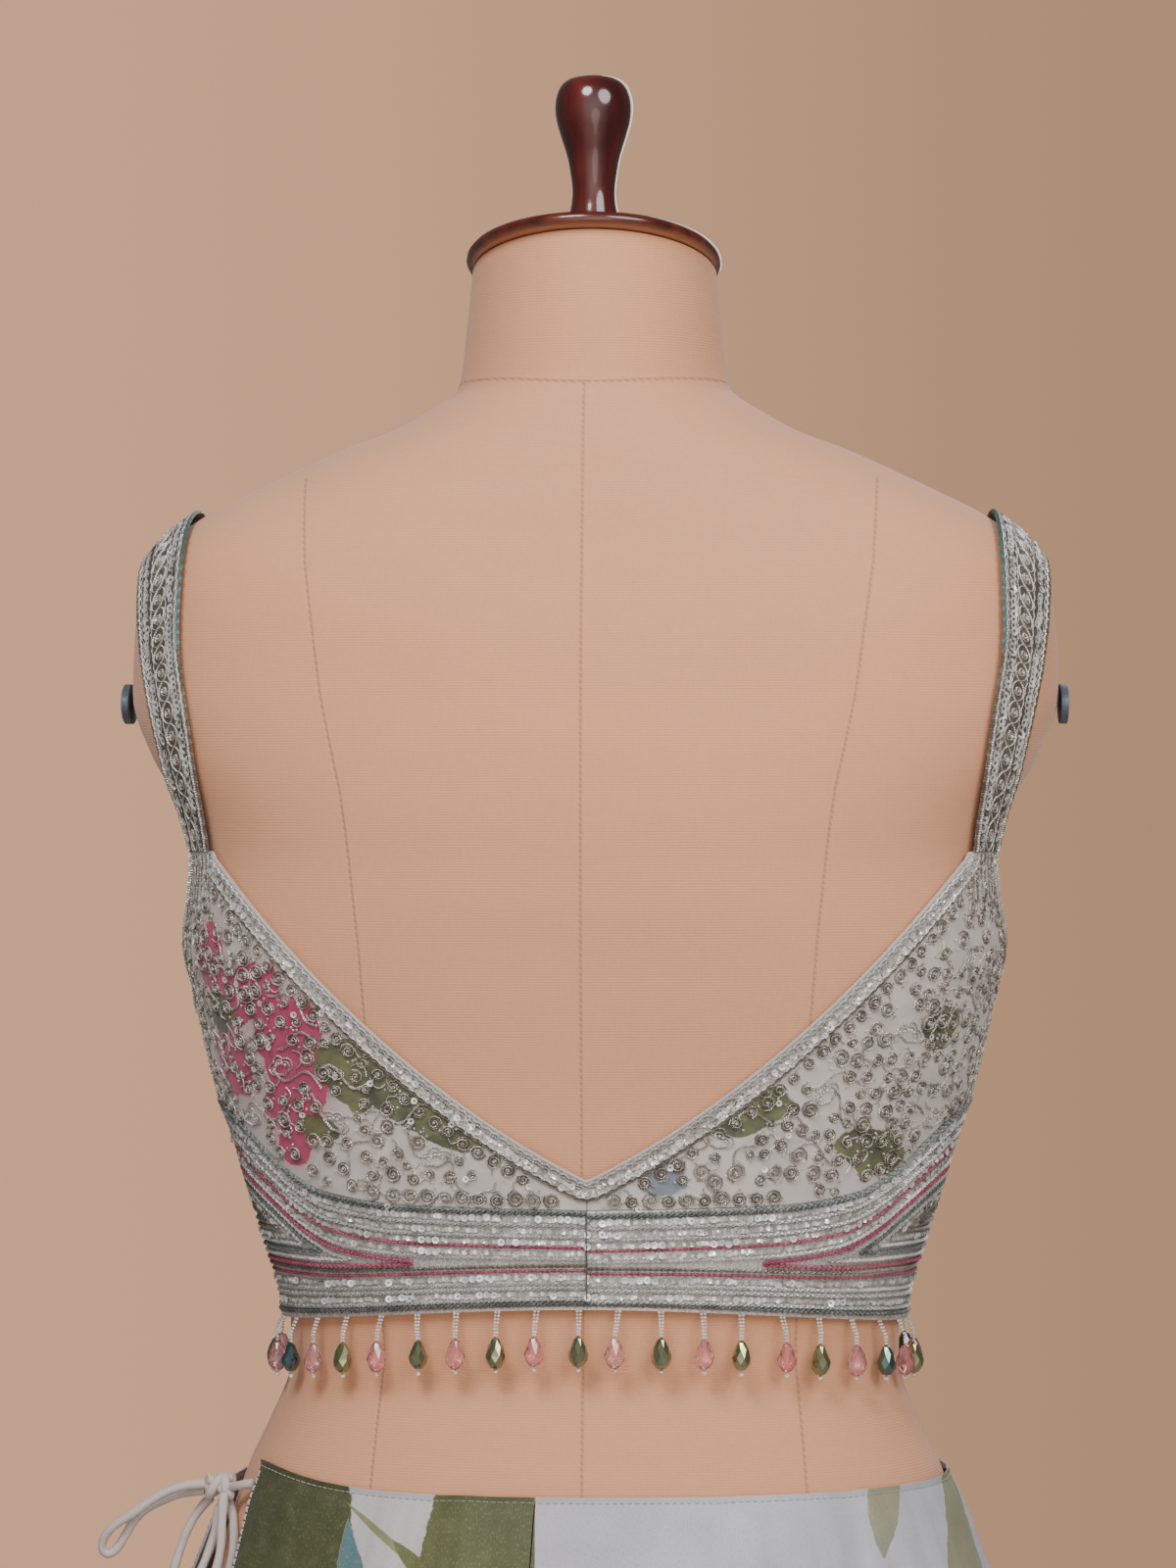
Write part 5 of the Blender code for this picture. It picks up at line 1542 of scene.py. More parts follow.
def add_vines(heap, start, end, rng):
    """Long double chain-stitch stems that wander between the rosettes."""
    half = sizes().thread_half
    for z in np.arange(1.156, 1.325, 0.015):
        low = float(arc_at(radians(start + 1.5), z))
        high = float(arc_at(radians(end - 1.5), z))
        arc = low + rng.uniform(0.006, 0.014)
        while arc < high:
            turn = radians(rng.uniform(-50, 50) + rng.choice([0, 180]))
            t = np.linspace(-0.5, 0.5, 18)
            local = np.stack([t * 0.024, 0.0034 * np.sin(t * 7 + rng.random() * 3)], axis=1)
            local = local @ spin(turn)
            angle = float(angle_at(arc, z))
            tips = [edge_room(float(angle_at(arc + e[0], z + e[1])), z + e[1]) for e in (local[0], local[-1])]
            reach = [local[0][0] + arc, local[-1][0] + arc]
            if min(min(tip) for tip in tips) > 0.0005 and low < min(reach) and max(reach) < high:
                for step in (-1, 1):
                    wave = np.abs(np.sin(np.arange(18) * 1.2))[:, None] * half * 1.1 * step
                    laid, out = lay_path(angle, z, local + wave * spin(turn)[1], CLOTH_OUT + half * 0.9)
                    heap.tube(laid, out, half * 0.9, tint=rng.random())
            arc += rng.uniform(0.022, 0.034)


def add_fans(heap, start, end, rng):
    low, high = sorted((radians(start), radians(end)))
    half = sizes().thread_half
    for arc, z, tilt in FANS:
        angle = float(angle_at(arc, z)) % tau
        if not low < angle < high:
            continue
        tilted = spin(radians(tilt))
        for size in (0.0068, 0.005):
            laid, out = lay_path(angle, z, fan_path(size) @ tilted, CLOTH_OUT + half * 0.6)
            heap.tube(laid, out, half * 1.05, tint=0.7)
        for k in range(5):
            t = pi * (0.2 + 0.15 * k)
            local = np.array([[cos(t), sin(t)]]) @ tilted * 0.0036
            laid, _ = lay_path(angle, z, local, CLOTH_OUT + 0.0006)
            speck(heap, laid[0], 0.0007, 3, rng.random())


class LEHENGA_OT_embroidery(Maker, bpy.types.Operator):
    """Coiled rosettes, tendrils, fans, ring sequins and seed beads on the choli"""
    bl_idname = "lehenga.embroidery"
    bl_label = "Embroidery"

    def make(self):
        for index, (name, start, end) in enumerate(PANELS):
            rng = np.random.default_rng(40 + index)
            heap = Heap()
            for first, last in ((start, min(end, 90)), (max(start, 90), end)):
                for angle, z, size in rosette_spots(first, last, rng):
                    add_rosette(heap, angle, z, size, rng)
                if first < last:
                    add_vines(heap, first, last, rng)
            add_fans(heap, start, end, rng)
            place(heap.build("embroidery_" + name[6:], EMBROIDERY_FINISHES), "braid")


# Straps


def strap_hit(x, turn):
    """Where a ray from the arm's height meets the form, in the plane of one x."""
    low = np.zeros(x.shape)
    high = np.full(x.shape, 0.14)
    for _ in range(30):
        mid = (low + high) / 2
        p = np.stack([x, PIVOT_Y + mid * np.cos(turn), PIVOT_Z + mid * np.sin(turn)], axis=-1)
        inside = gauge(p) < 0
        low = np.where(inside, mid, low)
        high = np.where(inside, high, mid)
    return p


def strap_turn(x, level, down, seam):
    """The ray's turn that ends at a seam's height."""
    level = np.full(x.shape, level)
    down = np.full(x.shape, down)
    for _ in range(24):
        mid = (level + down) / 2
        above = strap_hit(x, np.radians(mid))[..., 2] > seam
        level = np.where(above, mid, level)
        down = np.where(above, down, mid)
    return np.radians(mid)


def make_strap_grid():
    """The wearer's right strap's middle surface: rows along it, columns from its inner edge."""
    along = np.linspace(0, 1, 361)[:, None]
    across = np.linspace(0, 1, 17)[None, :]
    x = STRAP["inner"](along) + (STRAP["outer"](along) - STRAP["inner"](along)) * across
    first = strap_turn(x[0], 180.0, 262.0, BACK_STRAP_SEAM + SEAM_GAP)
    last = strap_turn(x[-1], 0.0, -75.0, FRONT_STRAP_SEAM + SEAM_GAP)
    return strap_hit(x, first + (last - first) * along)


STRAP_GRID = make_strap_grid()


def strap_surface(side, along, across, off):
    """Points of a strap: along from its back seam to its front seam, across from its inner edge."""
    along, across = np.broadcast_arrays(np.asarray(along, float), np.asarray(across, float))
    i = np.clip(along * 360, 0, 359.999)
    j = np.clip(across * 16, 0, 15.999)
    i0, j0 = i.astype(int), j.astype(int)
    ti, tj = (i - i0)[..., None], (j - j0)[..., None]
    near = STRAP_GRID[i0, j0] * (1 - tj) + STRAP_GRID[i0, j0 + 1] * tj
    far = STRAP_GRID[i0 + 1, j0] * (1 - tj) + STRAP_GRID[i0 + 1, j0 + 1] * tj
    p = near * (1 - ti) + far * ti
    out = unit(slope(p))
    mirror = [side, 1, 1]
    return (p + out * np.asarray(off)[..., None]) * mirror, out * mirror


STRAP_FINISHES = ("silver", "grey", "sequin", "teal", "ground", "antique")


def strap_ribbon(heap, side):
    along = np.linspace(0, 1, 80)[None, :]
    across = np.linspace(0, 1, 9)[:, None]
    points, _ = strap_surface(side, along, across, CLOTH_OUT - 0.0003)
    if side < 0:
        points = points[::-1]
    heap.grid(points, thick=0.001, slot=4)


def strap_row(heap, side, across, half, slot, first, last):
    n = int(250 * (last - first))
    along = np.linspace(first, last, n)
    wave = np.sin(np.arange(n) * pi / 2)
    line, out = strap_surface(side, along, across + wave * 0.012, CLOTH_OUT + half * 0.5)
    heap.tube(line, out, half * (1 + 0.2 * np.abs(wave)), slot=slot)


def strap_sequins(heap, side, across, rng):
    n = 112
    along = np.linspace(0.004, 0.996, n)
    jitter = rng.normal(0, 0.012, n)
    groups = np.sin(np.arange(n) * 0.42 + rng.random() * 6) + rng.normal(0, 0.5, n)
    line, out = strap_surface(side, along, across + jitter, CLOTH_OUT + 0.001)
    for point, up, bright in zip(line, out, groups > -0.5):
        ring(heap, point, up, 0.0039, rng, slot=2 if bright else 0, lean=0.25, hole=0.42)


def strap_coils(heap, side, rng):
    """Almond loops with a coil in each, down the middle."""
    n = 31
    for k in range(n):
        middle = (k + 0.5) / n
        reach = 0.5 / n
        t = np.linspace(0, tau, 18)
        along = middle + reach * np.cos(t) * 0.98
        across = 0.5 + 0.15 * np.sin(t) * np.abs(np.sin(t)) ** 0.3
        line, out = strap_surface(side, along, across, CLOTH_OUT + 0.0006)
        heap.tube(line, out, 0.00056, tint=0.5 + 0.5 * rng.random())
        t = np.linspace(0, 3.4 * pi, 20)
        r = 0.15 + 0.85 * t / t[-1]
        along = middle + reach * 0.5 * r * np.cos(t)
        across = 0.5 + 0.095 * r * np.sin(t)
        line, out = strap_surface(side, along, across, CLOTH_OUT + 0.0008)
        heap.tube(line, out, 0.00045, slot=5, tint=0.4 + 0.6 * rng.random())


class LEHENGA_OT_straps(Maker, bpy.types.Operator):
    """Shoulder straps: braid of coils between columns of ring sequins"""
    bl_idname = "lehenga.straps"
    bl_label = "Straps"

    def make(self):
        for side, name in ((-1, "left"), (1, "right")):
            rng = np.random.default_rng(70 + side)
            heap = Heap()
            strap_ribbon(heap, side)
            for across, half, slot, first, last in (
                    (0.022, 0.0006, 4, 0, 0.26), (0.022, 0.0008, 3, 0.26, 0.56), (0.022, 0.0006, 4, 0.56, 1),
                    (0.068, 0.0008, 0, 0, 1), (0.115, 0.0006, 5, 0, 1), (0.325, 0.0006, 0, 0, 1),
                    (0.675, 0.0006, 0, 0, 1), (0.885, 0.0006, 5, 0, 1), (0.93, 0.0008, 0, 0, 1),
                    (0.978, 0.0007, 4, 0, 1)):
                strap_row(heap, side, across, half, slot, first, last)
            strap_sequins(heap, side, 0.215, rng)
            strap_sequins(heap, side, 0.785, rng)
            strap_coils(heap, side, rng)
            place(heap.build("strap_braid_" + name, STRAP_FINISHES), "braid", "choli_strap_" + name)


# Band


BAND_ROWS = table(
    "share half slot kind",
    (0.028, 1.55, 4, "rope"), (0.092, 2.8, 2, "sequins"), (0.16, 1.1, 5, "rope"), (0.218, 2.8, 3, "sequins"),
    (0.282, 1, 5, "rope"), (0.335, 2.6, 2, "sequins"), (0.392, 0.76, 6, "rope"), (0.45, 2.8, 3, "sequins"),
    (0.512, 1, 0, "rope"), (0.575, 1, 1, "rope"), (0.628, 0.76, 6, "rope"), (0.69, 2.8, 2, "sequins"),
    (0.752, 1, 0, "rope"), (0.808, 1.2, 5, "rope"), (0.868, 2.7, 2, "sequins"), (0.926, 1.2, 5, "rope"),
    (0.972, 1.4, 4, "rope"),
)
SPANS = (("front", 0, 180), ("back_left", 180, 270), ("back_right", 270, 360))
BAND_SPLIT = 0.55
BAND_WIDE = 0.039
BAND_FINISHES = ("silver", "gold", "sequin", "bronze", "slate", "grey", "rose")


def band_height(angle, share):
    """Height of a row: the upper rows follow the top edge and the lower ones the hem."""
    top = band_top(angle) - SEAM_GAP / 2
    low = hem_height(angle)
    extra = np.maximum(top - low - BAND_WIDE, 0.0)
    scale = np.minimum(top - low, BAND_WIDE) + 0.25 * extra
    return np.where(np.asarray(share) < BAND_SPLIT, top - scale * share, low + scale * (1 - np.asarray(share)))


def band_backing(heap, start, end):
    angles = trimmed(start, end, int((end - start) * 0.8) + 2)
    z = band_height(angles[:, None], np.linspace(0, 1, 16)[None, :])
    heap.grid(on_body(angles[:, None], z, CLOTH_OUT - 0.0002), thick=0.0008, slot=5)


def band_line(share, start, end, drop, step):
    angles = trimmed(start, end, 240)
    bell = np.exp(-((90 - from_side(angles)) / 26) ** 2)
    z = band_height(angles, share) - drop * bell * (share < 0.93)
    z = np.maximum(z, hem_height(angles) + 0.0004)
    return evenly(on_body(angles, z, CLOTH_OUT + 0.0003), step)


def band_scallop(start, end):
    """The silver edge below the last row, in small waves."""
    angles = trimmed(start, end, int((end - start) * 6))
    z = hem_height(angles) + 0.0003 + 0.0003 * np.sin(np.degrees(angles) * 2.4)
    return evenly(on_body(angles, z, CLOTH_OUT), 0.0012)


def add_rope(heap, line, half, slot):
    """Two strands twisted round each other."""
    out = unit(slope(line))
    phase = np.arange(len(line)) * pi / 2
    for k in range(2):
        shift = phase + k * pi
        strand = line + np.stack([0 * shift, 0 * shift, np.sin(shift) * half * 0.45], axis=1)
        strand = strand + out * (np.cos(shift) * half * 0.25)[:, None]
        heap.tube(strand, out, half * 0.66, slot=slot)


def band_sequins(heap, line, size, kind, rng):
    """Small cups in a row, with bright ring sequins on them in loose groups."""
    out = unit(slope(line))
    groups = np.sin(np.arange(len(line)) * rng.uniform(0.22, 0.34) + rng.random() * 6)
    bright = groups + rng.normal(0, 0.45, len(line)) > (0.5 if kind == 2 else 1.05)
    for k, (point, up) in enumerate(zip(line, out)):
        shaken = point + [0, 0, rng.normal(0, 0.00025)] + up * 0.0003
        cup(heap, shaken, up, size * 0.8, rng, 3 if rng.random() < 0.55 else 0)
        if bright[k] and k % 2 == 0:
            ring(heap, shaken + up * 0.0006, up, 0.0031, rng, slot=2, tint=0.9)


def band_leaves(heap, start, end, rng):
    """Nested pointed leaves in the wedge between the upper and lower rows, at the side seams."""
    for seam in (0, 180, 360):
        if not start <= seam <= end:
            continue
        way = -1 if seam > start else 1
        turns = np.radians(seam + way * np.linspace(0.25, 60, 240))
        top = band_height(turns, BAND_SPLIT - 0.001)
        low = band_height(turns, BAND_SPLIT + 0.001)
        for k, slot in enumerate((6, 0, 4, 0, 3, 1, 4, 0, 6, 0, 4, 5)):
            inset = 0.001 + 0.0027 * k
            open_here = top - low > 2 * inset
            last = int(np.argmin(open_here)) if not open_here.all() else len(turns) - 1
            if last < 6:
                continue
            run = np.concatenate([np.arange(last), np.arange(last)[::-1]])
            z = np.concatenate([(top - inset)[:last], (low + inset)[:last][::-1]])
            line = evenly(on_body(turns[run], z, CLOTH_OUT + 0.0004), 0.0012)
            if slot == 3:
                band_sequins(heap, line, 0.0026, slot, rng)
            else:
                add_rope(heap, line, 0.001, slot)


class LEHENGA_OT_band(Maker, bpy.types.Operator):
    """Under-bust band: rows of twisted braid and sequins"""
    bl_idname = "lehenga.band"
    bl_label = "Braid band"

    def make(self):
        for index, (name, start, end) in enumerate(SPANS):
            rng = np.random.default_rng(90 + index)
            heap = Heap()
            band_backing(heap, start, end)
            drop = 0.0012 if name == "back_right" else 0.0
            for row in BAND_ROWS:
                rope = row.kind == "rope"
                line = band_line(row.share, start, end, drop, 0.0012 if rope else 0.0015)
                if rope:
                    add_rope(heap, line, row.half, row.slot)
                else:
                    band_sequins(heap, line, row.half, row.slot, rng)
            band_leaves(heap, start, end, rng)
            add_rope(heap, band_scallop(start, end), 0.0009, 0)
            if name == "back_left":
                turn = radians(end) - 0.002
                join = on_body(turn, band_height(turn, np.linspace(0.03, 0.96, 12)), CLOTH_OUT + 0.0012)
                heap.tube(join, unit(slope(join)), 0.0004, slot=4)
            place(heap.build("band_braid_" + name, BAND_FINISHES), "braid", "choli_band_" + name)


# Bead drops


def drop_angles():
    """Angles of the drops, evenly spaced along the hem from the centre back."""
    turns = np.radians(270 - 360 * np.arange(721) / 720)
    run = run_along(on_body(turns, hem_height(turns), CLOTH_CLEAR))
    wanted = (np.arange(DROP_COUNT) + FIRST_DROP) * run[-1] / DROP_COUNT
    return [float(turns[np.searchsorted(run, w)]) % tau for w in wanted]


DROP_PROFILE = ((0.0, 0.0), (0.00165, -0.001), (0.003, -0.0038), (0.00415, -0.0072), (0.00385, -0.0098),
                (0.00205, -0.0122), (0.0, -0.013))


def drop_strip(heap, start, end):
    angles = trimmed(start, end, int(end - start))
    z = hem_height(angles)[:, None] - np.linspace(0.0004, 0.0016, 4)[None, :]
    heap.grid(on_body(angles[:, None], z, CLOTH_CLEAR + 0.0014), thick=0.0007, slot=3)


def add_drop(heap, angle, index, rng):
    top = on_body(angle, hem_height(angle) - 0.001, CLOTH_OUT)
    out = unit(unit(slope(top)) * [1, 1, 0])
    side = np.array([-out[1], out[0], 0])
    sway = rng.normal(0, 0.0006)
    hang = top + out * 0.003
    for k in range(8):
        t = (k + 0.5) / 8
        middle = top + (hang - top) * min(1, t * 1.6) + side * sway * t
        middle = middle - [0, 0, 0.0104 * t + 0.0004]
        spread = 0.00075 * (1 - 0.5 * t)
        for sign in (-1, 1):
            ball(heap, middle + side * spread * sign, 0.00068, 0, rng.random(), 0.85)
    head = hang + side * sway - [0, 0, 0.0106]
    drop_facets(heap, head, index, rng)
    ball(heap, head - [0, 0, 0.0139], 0.0011, 0, rng.random(), 0.9)


def drop_facets(heap, head, index, rng):
    """A drop of eight-sided rings, each ring turned half a step."""
    sides = 8
    size = rng.uniform(0.95, 1.05)
    points = [head]
    for row, (r, h) in enumerate(DROP_PROFILE[1:-1]):
        t = (np.arange(sides) + 0.5 * (row % 2)) * tau / sides + index
        points += list(head + np.stack([np.cos(t) * r, np.sin(t) * r, np.full(sides, h)], axis=1) * size)
    points.append(head + [0, 0, DROP_PROFILE[-1][1] * size])
    faces = [(0, 1 + (k + 1) % sides, 1 + k) for k in range(sides)]
    rows = len(DROP_PROFILE) - 2
    for row in range(rows - 1):
        a = 1 + row * sides
        b = a + sides
        for k in range(sides):
            m = (k + 1) % sides
            if row % 2 == 0:
                faces += [(a + k, a + m, b + k), (a + m, b + m, b + k)]
            else:
                faces += [(a + k, b + m, b + k), (a + k, a + m, b + m)]
    a = 1 + (rows - 1) * sides
    faces += [(a + k, a + (k + 1) % sides, len(points) - 1) for k in range(sides)]
    faces = [face[::-1] for face in faces]
    heap.add(np.array(points), faces, tint=rng.random(), slot=1 if index % 2 else 2)


class LEHENGA_OT_drops(Maker, bpy.types.Operator):
    """Fringe of seed beads and faceted drops on the choli's hem"""
    bl_idname = "lehenga.drops"
    bl_label = "Bead drops"

    def make(self):
        drops = drop_angles()
        for index, (name, start, end) in enumerate(SPANS):
            rng = np.random.default_rng(110 + index)
            heap = Heap()
            drop_strip(heap, start, end)
            for k, angle in enumerate(drops):
                if radians(start) <= angle < radians(end):
                    add_drop(heap, angle, k, rng)
            made = heap.build("bead_drops_" + name, ("seed", "pink", "dark", "silver"), 20)
            place(made, "beads", "bead_fringe_" + name)


# Lehenga


def skirt_points(angle, z):
    angle, z = np.broadcast_arrays(np.asarray(angle, float), np.asarray(z, float))
    x, y, _ = oval(angle, **{key: curve(z) for key, curve in SKIRT.items()})
    below = (SKIRT_TOP - z - FOLD_START) / (SKIRT_TOP - SKIRT_HEM - FOLD_START)
    grow = np.maximum(below, 0.0) ** FOLD_GROWTH
    degrees = np.degrees(angle)
    rise = np.zeros(angle.shape)
    for fold in FOLDS:
        turn = np.abs((degrees - fold.angle + 180) % 360 - 180)
        shape = fold.crest * 0.5 * (1 + np.cos(pi * turn / fold.half_angle))
        rise = rise + np.where(turn < fold.half_angle, shape, 0.0)
    lift, centre, wide, low, tall = FLAP
    bell = np.exp(-((degrees - centre) / wide) ** 2 - ((SKIRT_TOP - low - z) / tall) ** 2)
    lift = np.where(degrees % 360 < 183, lift * bell, 0.0)
    push = grow * rise + lift
    return np.stack([x + np.cos(angle) * push, y + np.sin(angle) * push, z], axis=-1)


def skirt_top(angle):
    turn = np.degrees(angle)
    raised = 0.007 * np.exp(-((turn - 200) / 23) ** 2)
    lowered = -0.008 * np.exp(-((turn - 176) / 23) ** 2)
    return SKIRT_TOP + np.where(turn > 180, raised, lowered)


RIPPLES = table(
    "angle height long spread deep lean",
    (206, 965, 70, 2.2, 2.2, 14), (214, 930, 90, 2.4, 2.6, 10), (226, 950, 60, 2, 1.6, -8),
    (240, 930, 100, 2.6, 2.8, 5), (256, 910, 90, 2.2, 2.4, -6), (268, 940, 80, 2.4, 2, 4),
    (281, 900, 110, 2.6, 3, 7), (297, 940, 70, 2, 1.8, -5), (308, 900, 110, 2.4, 2.8, 4),
    (326, 930, 90, 2.2, 2.4, -9), (345, 910, 100, 2.4, 2.6, 6), (8, 930, 80, 2.2, 2.2, -5),
    (27, 900, 110, 2.6, 2.8, 6), (49, 930, 80, 2.2, 2, 4), (71, 910, 100, 2.4, 2.8, -6), (96, 930, 80, 2.2, 2.2, 5),
    (118, 900, 110, 2.6, 2.8, -4), (141, 930, 80, 2.2, 2, 6), (158, 900, 100, 2.4, 2.6, -8),
    (232, 560, 260, 2.6, 6, 5), (262, 500, 300, 2.4, 6.6, -4), (303, 540, 280, 2.6, 6, 4),
    (330, 470, 300, 2.2, 6.6, -5), (12, 520, 280, 2.6, 6, 3), (55, 480, 300, 2.4, 6.6, -4),
    (80, 560, 240, 2.2, 5.2, 4), (101, 450, 300, 2.4, 6.6, 3), (124, 540, 260, 2.4, 5.6, -4),
    (146, 470, 300, 2.6, 6.6, 4), (192, 500, 280, 2.4, 6, -3),
)


def ripple_lift(angle, z):
    """Small creases between the main folds, uneven in length, depth and spacing."""
    lift = np.zeros(np.broadcast(angle, z).shape)
    for r in RIPPLES:
        dz = (z - r.height) / r.long
        turn = (np.degrees(angle) - r.angle - r.lean * dz + 180) % 360 - 180
        lift = lift - r.deep * np.exp(-dz * dz) * (np.exp(-(turn / r.spread) ** 2)
                                                   - 0.6 * np.exp(-((turn - 1.9 * r.spread) / r.spread) ** 2))
    return lift


Spray = namedtuple("Spray", "arc height long wide tilt tone kind")


def make_sprays(panel):
    """Leaves and blooms of a panel's print, on shaken rows."""
    sprays = []
    rng = random.Random(5 + len(panel))
    for row, z in enumerate(np.arange(0.875, -0.02, -0.128)):
        radius = float(SKIRT["half_width"](z) + SKIRT["back"](z)) / 2
        reach = tau * radius * 1.02
        count = max(5, int(reach / 0.165))
        for k in range(count):
            arc = -reach / 2 + (k + 0.5 * (row % 2) + rng.uniform(-0.22, 0.22)) * reach / count
            h = z + rng.uniform(-0.03, 0.03)
            if rng.random() < 0.2:
                sprays.append(Spray(arc, h, rng.uniform(0.045, 0.065), 0.05, rng.uniform(0, 360), 0.5, "bloom"))
            else:
                sprays.append(Spray(arc, h, rng.uniform(0.075, 0.135), rng.uniform(0.026, 0.044),
                                    rng.uniform(25, 155), rng.uniform(0.05, 0.92), "leaf"))
    return sprays


def print_fields(arc, z, panel):
    """Leaf share, its tone and the distance from its vein, and the share of the blooms."""
    leaf = np.full(arc.shape, -1.0)
    tone = np.zeros(arc.shape)
    vein = np.full(arc.shape, 0.05)
    bloom = np.full(arc.shape, -1.0)
    for s in make_sprays(panel):
        a, b = turned(arc - s.arc, z - s.height, s.tilt)
        if s.kind == "leaf":
            room = np.maximum(1 - (a / s.long) ** 2, 0.0)
            share = s.wide * room ** 0.8 * (1 - 0.25 * a / s.long) - np.abs(b + 0.12 * a * a / s.long)
            share = np.where(np.abs(a) < s.long, share, -np.hypot(np.abs(a) - s.long, b)) / 0.1
            nearer = share > leaf
            tone = np.where(nearer, s.tone, tone)
            vein = np.where(nearer, b + 0.12 * a * a / s.long, vein)
            leaf = np.maximum(leaf, share)
        else:
            turn = np.arctan2(b, a)
            r = np.hypot(a, b)
            share = (s.long * (0.72 + 0.28 * np.abs(np.cos(2.5 * turn))) - r) / 0.1
            share = np.minimum(share, (r - s.long * 0.1) / 0.05)
            bloom = np.maximum(bloom, share)
    return {"leaf": leaf, "leaf_tone": tone, "vein": vein, "bloom": bloom}


SKIRT_PANELS = {"front_right": (0, 90), "front_left": (90, 180), "back_left": (180, BACK_SEAM_DEG),
                "back_right": (BACK_SEAM_DEG, 360)}


def panel_edges(name, below):
    """Angles of a panel's two edges; those at the slit lie apart."""
    start, end = SKIRT_PANELS[name]
    if name == "front_left":
        end = end - SLIT_EDGE["front_edge"](below)
    if name == "back_left":
        start = start + SLIT_EDGE["back_edge"](below)
    return np.radians(start), np.radians(end)


def panel_surface(name, u, below, off):
    """Points of a panel; u runs from its first seam to its second."""
    z = SKIRT_TOP - below
    trim = SEAM_GAP * 0.62 / SKIRT["front"](z)
    first, last = panel_edges(name, below)
    first = first + trim
    angle = first + (last - trim - first) * u
    share = below / (SKIRT_TOP - SKIRT_HEM)
    z = z + (skirt_top(angle) - SKIRT_TOP) * np.maximum(1 - share, 0) ** 8
    turn = 0.002
    out = unit(np.cross(skirt_points(angle + turn, z) - skirt_points(angle - turn, z),
                        skirt_points(angle, z + turn) - skirt_points(angle, z - turn)))
    lift = off + ripple_lift(angle, z) + casing_puckers(angle, below)
    return skirt_points(angle, z) + out * lift[..., None], angle, z


def casing_puckers(angle, below):
    """The drawn casing's small gathers, and its rolled top edge."""
    wave = np.sin(np.degrees(angle) * 0.9) + 0.6 * np.sin(np.degrees(angle) * 2.3 + 1.2)
    fade = np.exp(-((below - 0.024) / 0.02) ** 2)
    roll = 0.0005 * np.exp(-(below / 0.0016) ** 2)
    tuck = -0.0003 * np.exp(-((below - 0.0022) / 0.0008) ** 2)
    return 0.00022 * wave * fade + roll + tuck


def make_panel(name):
    cols = 98
    below = np.concatenate([[0, 0.0007, 0.0014, 0.0022, 0.003, 0.0044], np.linspace(0.007, 0.16, 28),
                            np.linspace(0.17, 1.025, 60)])
    u = np.linspace(0, 1, cols)[:, None]
    points, angle, z = panel_surface(name, u, below[None, :], 0.0014)
    arc = panel_arcs(angle, z, name)
    heap = Heap()
    heap.grid(points, np.stack([arc, z], axis=-1), thick=0.0008)
    made = heap.build("tissue_" + name, ["tissue"], 70, print_fields(arc, z, name), fix=True)
    place(made, "lehenga_satin", "lehenga_" + name)
    stitches = panel_stitches(name)


def panel_arcs(angle, z, name):
    """Distance round on the plain cone, from the centre back or a front panel's own middle."""
    middle, shift = {"front_right": (45, 0.28), "front_left": (135, -0.28)}.get(name, (270, 0.0))
    turn = (np.degrees(angle) - middle + 180) % 360 - 180
    radius = (SKIRT["half_width"](z) + SKIRT["back"](z)) / 2
    return np.radians(turn) * radius + shift


def panel_stitches(name):
    """Topstitch of the casing, along the slit and above the hem."""
    heap = Heap()
    u = np.linspace(0.002, 0.998, 900)
    for below, step in ((0.0022, 0.003), (0.04, 0.0034), (1.005, 0.006)):
        add_dashes(heap, panel_surface(name, u, np.full(900, below), 0.00165)[0], step)
    if name.endswith("left"):
        for inset in (0.006, 0.012):
            u = inset if name == "back_left" else 1 - inset
            add_dashes(heap, panel_surface(name, u, np.linspace(0.004, 0.15, 300), 0.00165)[0], 0.0032)
    return place(heap.build("stitches_" + name, ["thread"], 60), "drawstring")


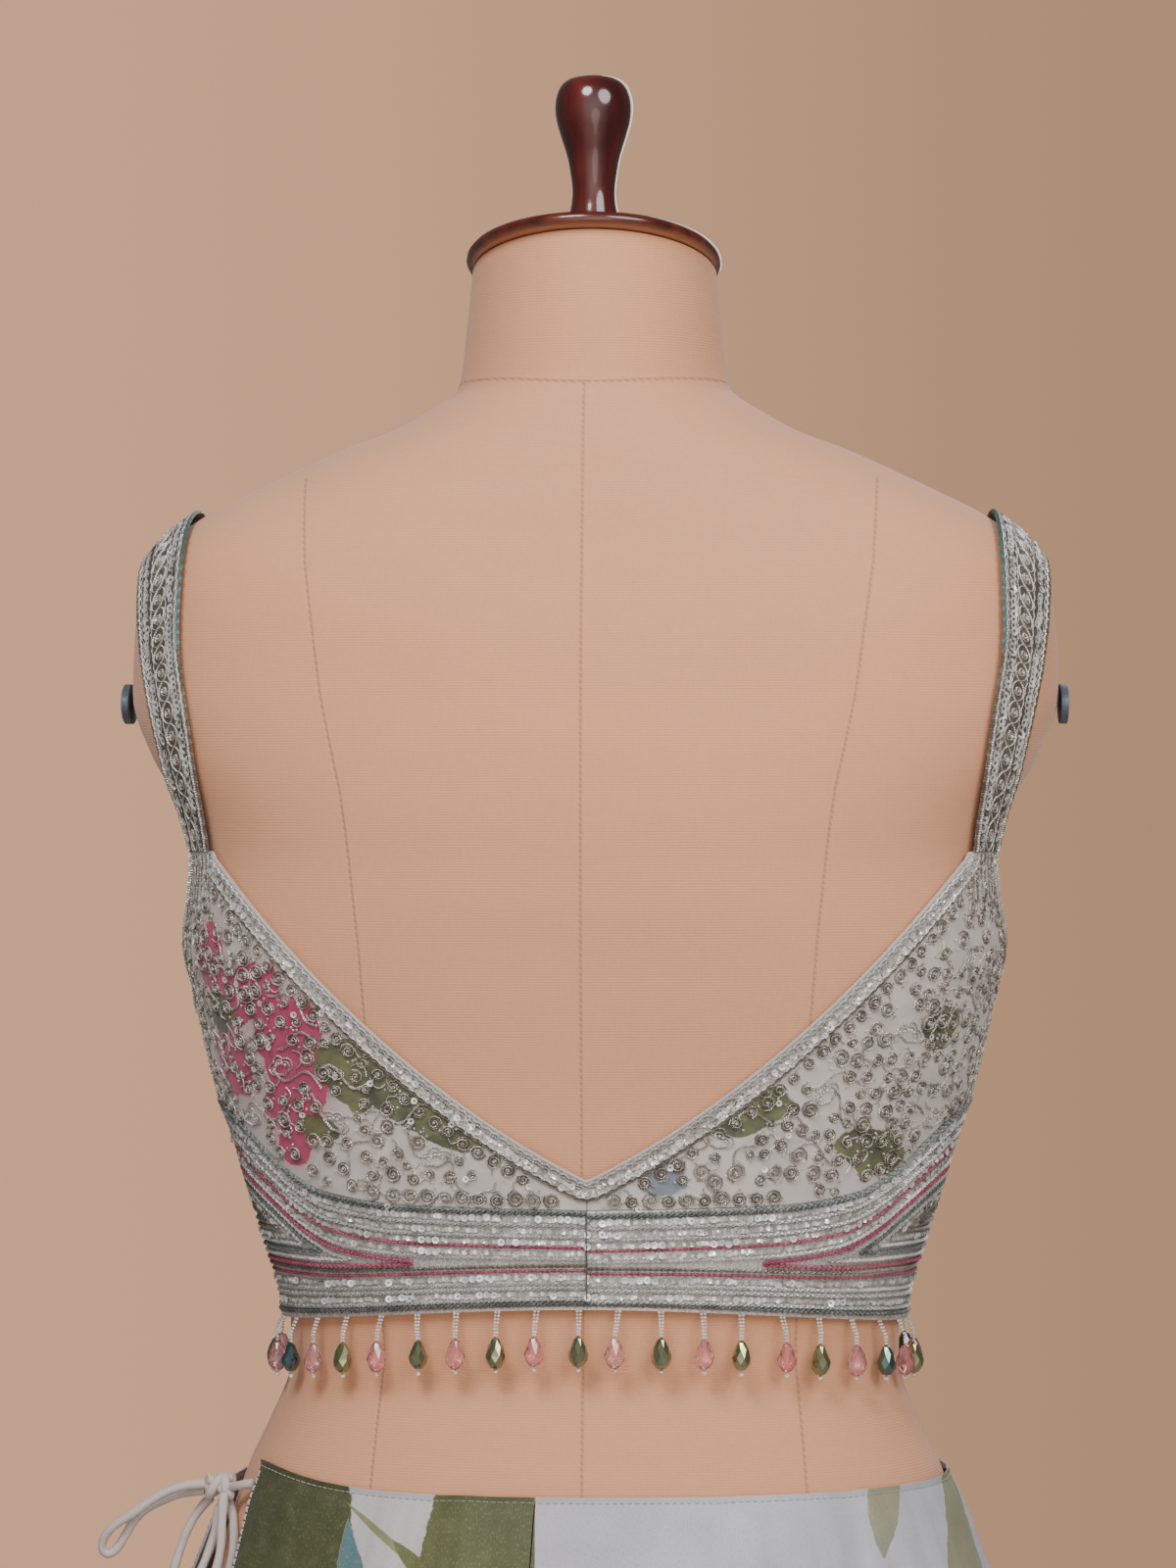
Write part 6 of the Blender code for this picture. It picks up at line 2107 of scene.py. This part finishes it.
def add_dashes(heap, line, step):
    path = evenly(line, step)
    for a, b in zip(path, path[1:]):
        out = unit(np.array([[a[0], a[1], 0.02]]))[0]
        dash = np.stack([a + (b - a) * t for t in (0.08, 0.45, 0.82)])
        dash = dash + out * np.array([-0.0002, 0.0001, -0.0002])[:, None]
        heap.tube(dash, np.tile(out, (3, 1)), 0.00024)


class LEHENGA_OT_lehenga(Maker, bpy.types.Operator):
    """Four printed panels of the skirt, with casing and hem stitches"""
    bl_idname = "lehenga.skirt"
    bl_label = "Lehenga panels"

    def make(self):
        for name in SKIRT_PANELS:
            make_panel(name)


OPERATORS = (LEHENGA_OT_stage, LEHENGA_OT_drawstring, LEHENGA_OT_form, LEHENGA_OT_stand, LEHENGA_OT_choli,
             LEHENGA_OT_borders, LEHENGA_OT_embroidery, LEHENGA_OT_straps, LEHENGA_OT_band, LEHENGA_OT_drops,
             LEHENGA_OT_lehenga)


class LEHENGA_PT_panel(bpy.types.Panel):
    """Settings and pieces of the lehenga choli"""
    bl_idname = "LEHENGA_PT_panel"
    bl_label = "Lehenga choli"
    bl_space_type = "VIEW_3D"
    bl_region_type = "UI"
    bl_category = "Lehenga"

    def draw(self, context):
        for group in (context.scene.lehenga_sizes, context.scene.lehenga_colours):
            for key in group.__annotations__:
                self.layout.prop(group, key)
        for operator in OPERATORS:
            self.layout.operator(operator.bl_idname)


CLASSES = (LehengaSizes, LehengaColours, *OPERATORS, LEHENGA_PT_panel)


def register():
    for one in CLASSES:
        bpy.utils.register_class(one)
    bpy.types.Scene.lehenga_sizes = bpy.props.PointerProperty(type=LehengaSizes)
    bpy.types.Scene.lehenga_colours = bpy.props.PointerProperty(type=LehengaColours)


def unregister():
    del bpy.types.Scene.lehenga_colours
    del bpy.types.Scene.lehenga_sizes
    for one in reversed(CLASSES):
        bpy.utils.unregister_class(one)


def main():
    register()
    for operator in OPERATORS:
        group, name = operator.bl_idname.split(".")
        getattr(getattr(bpy.ops, group), name)()


if __name__ == "__main__":
    main()
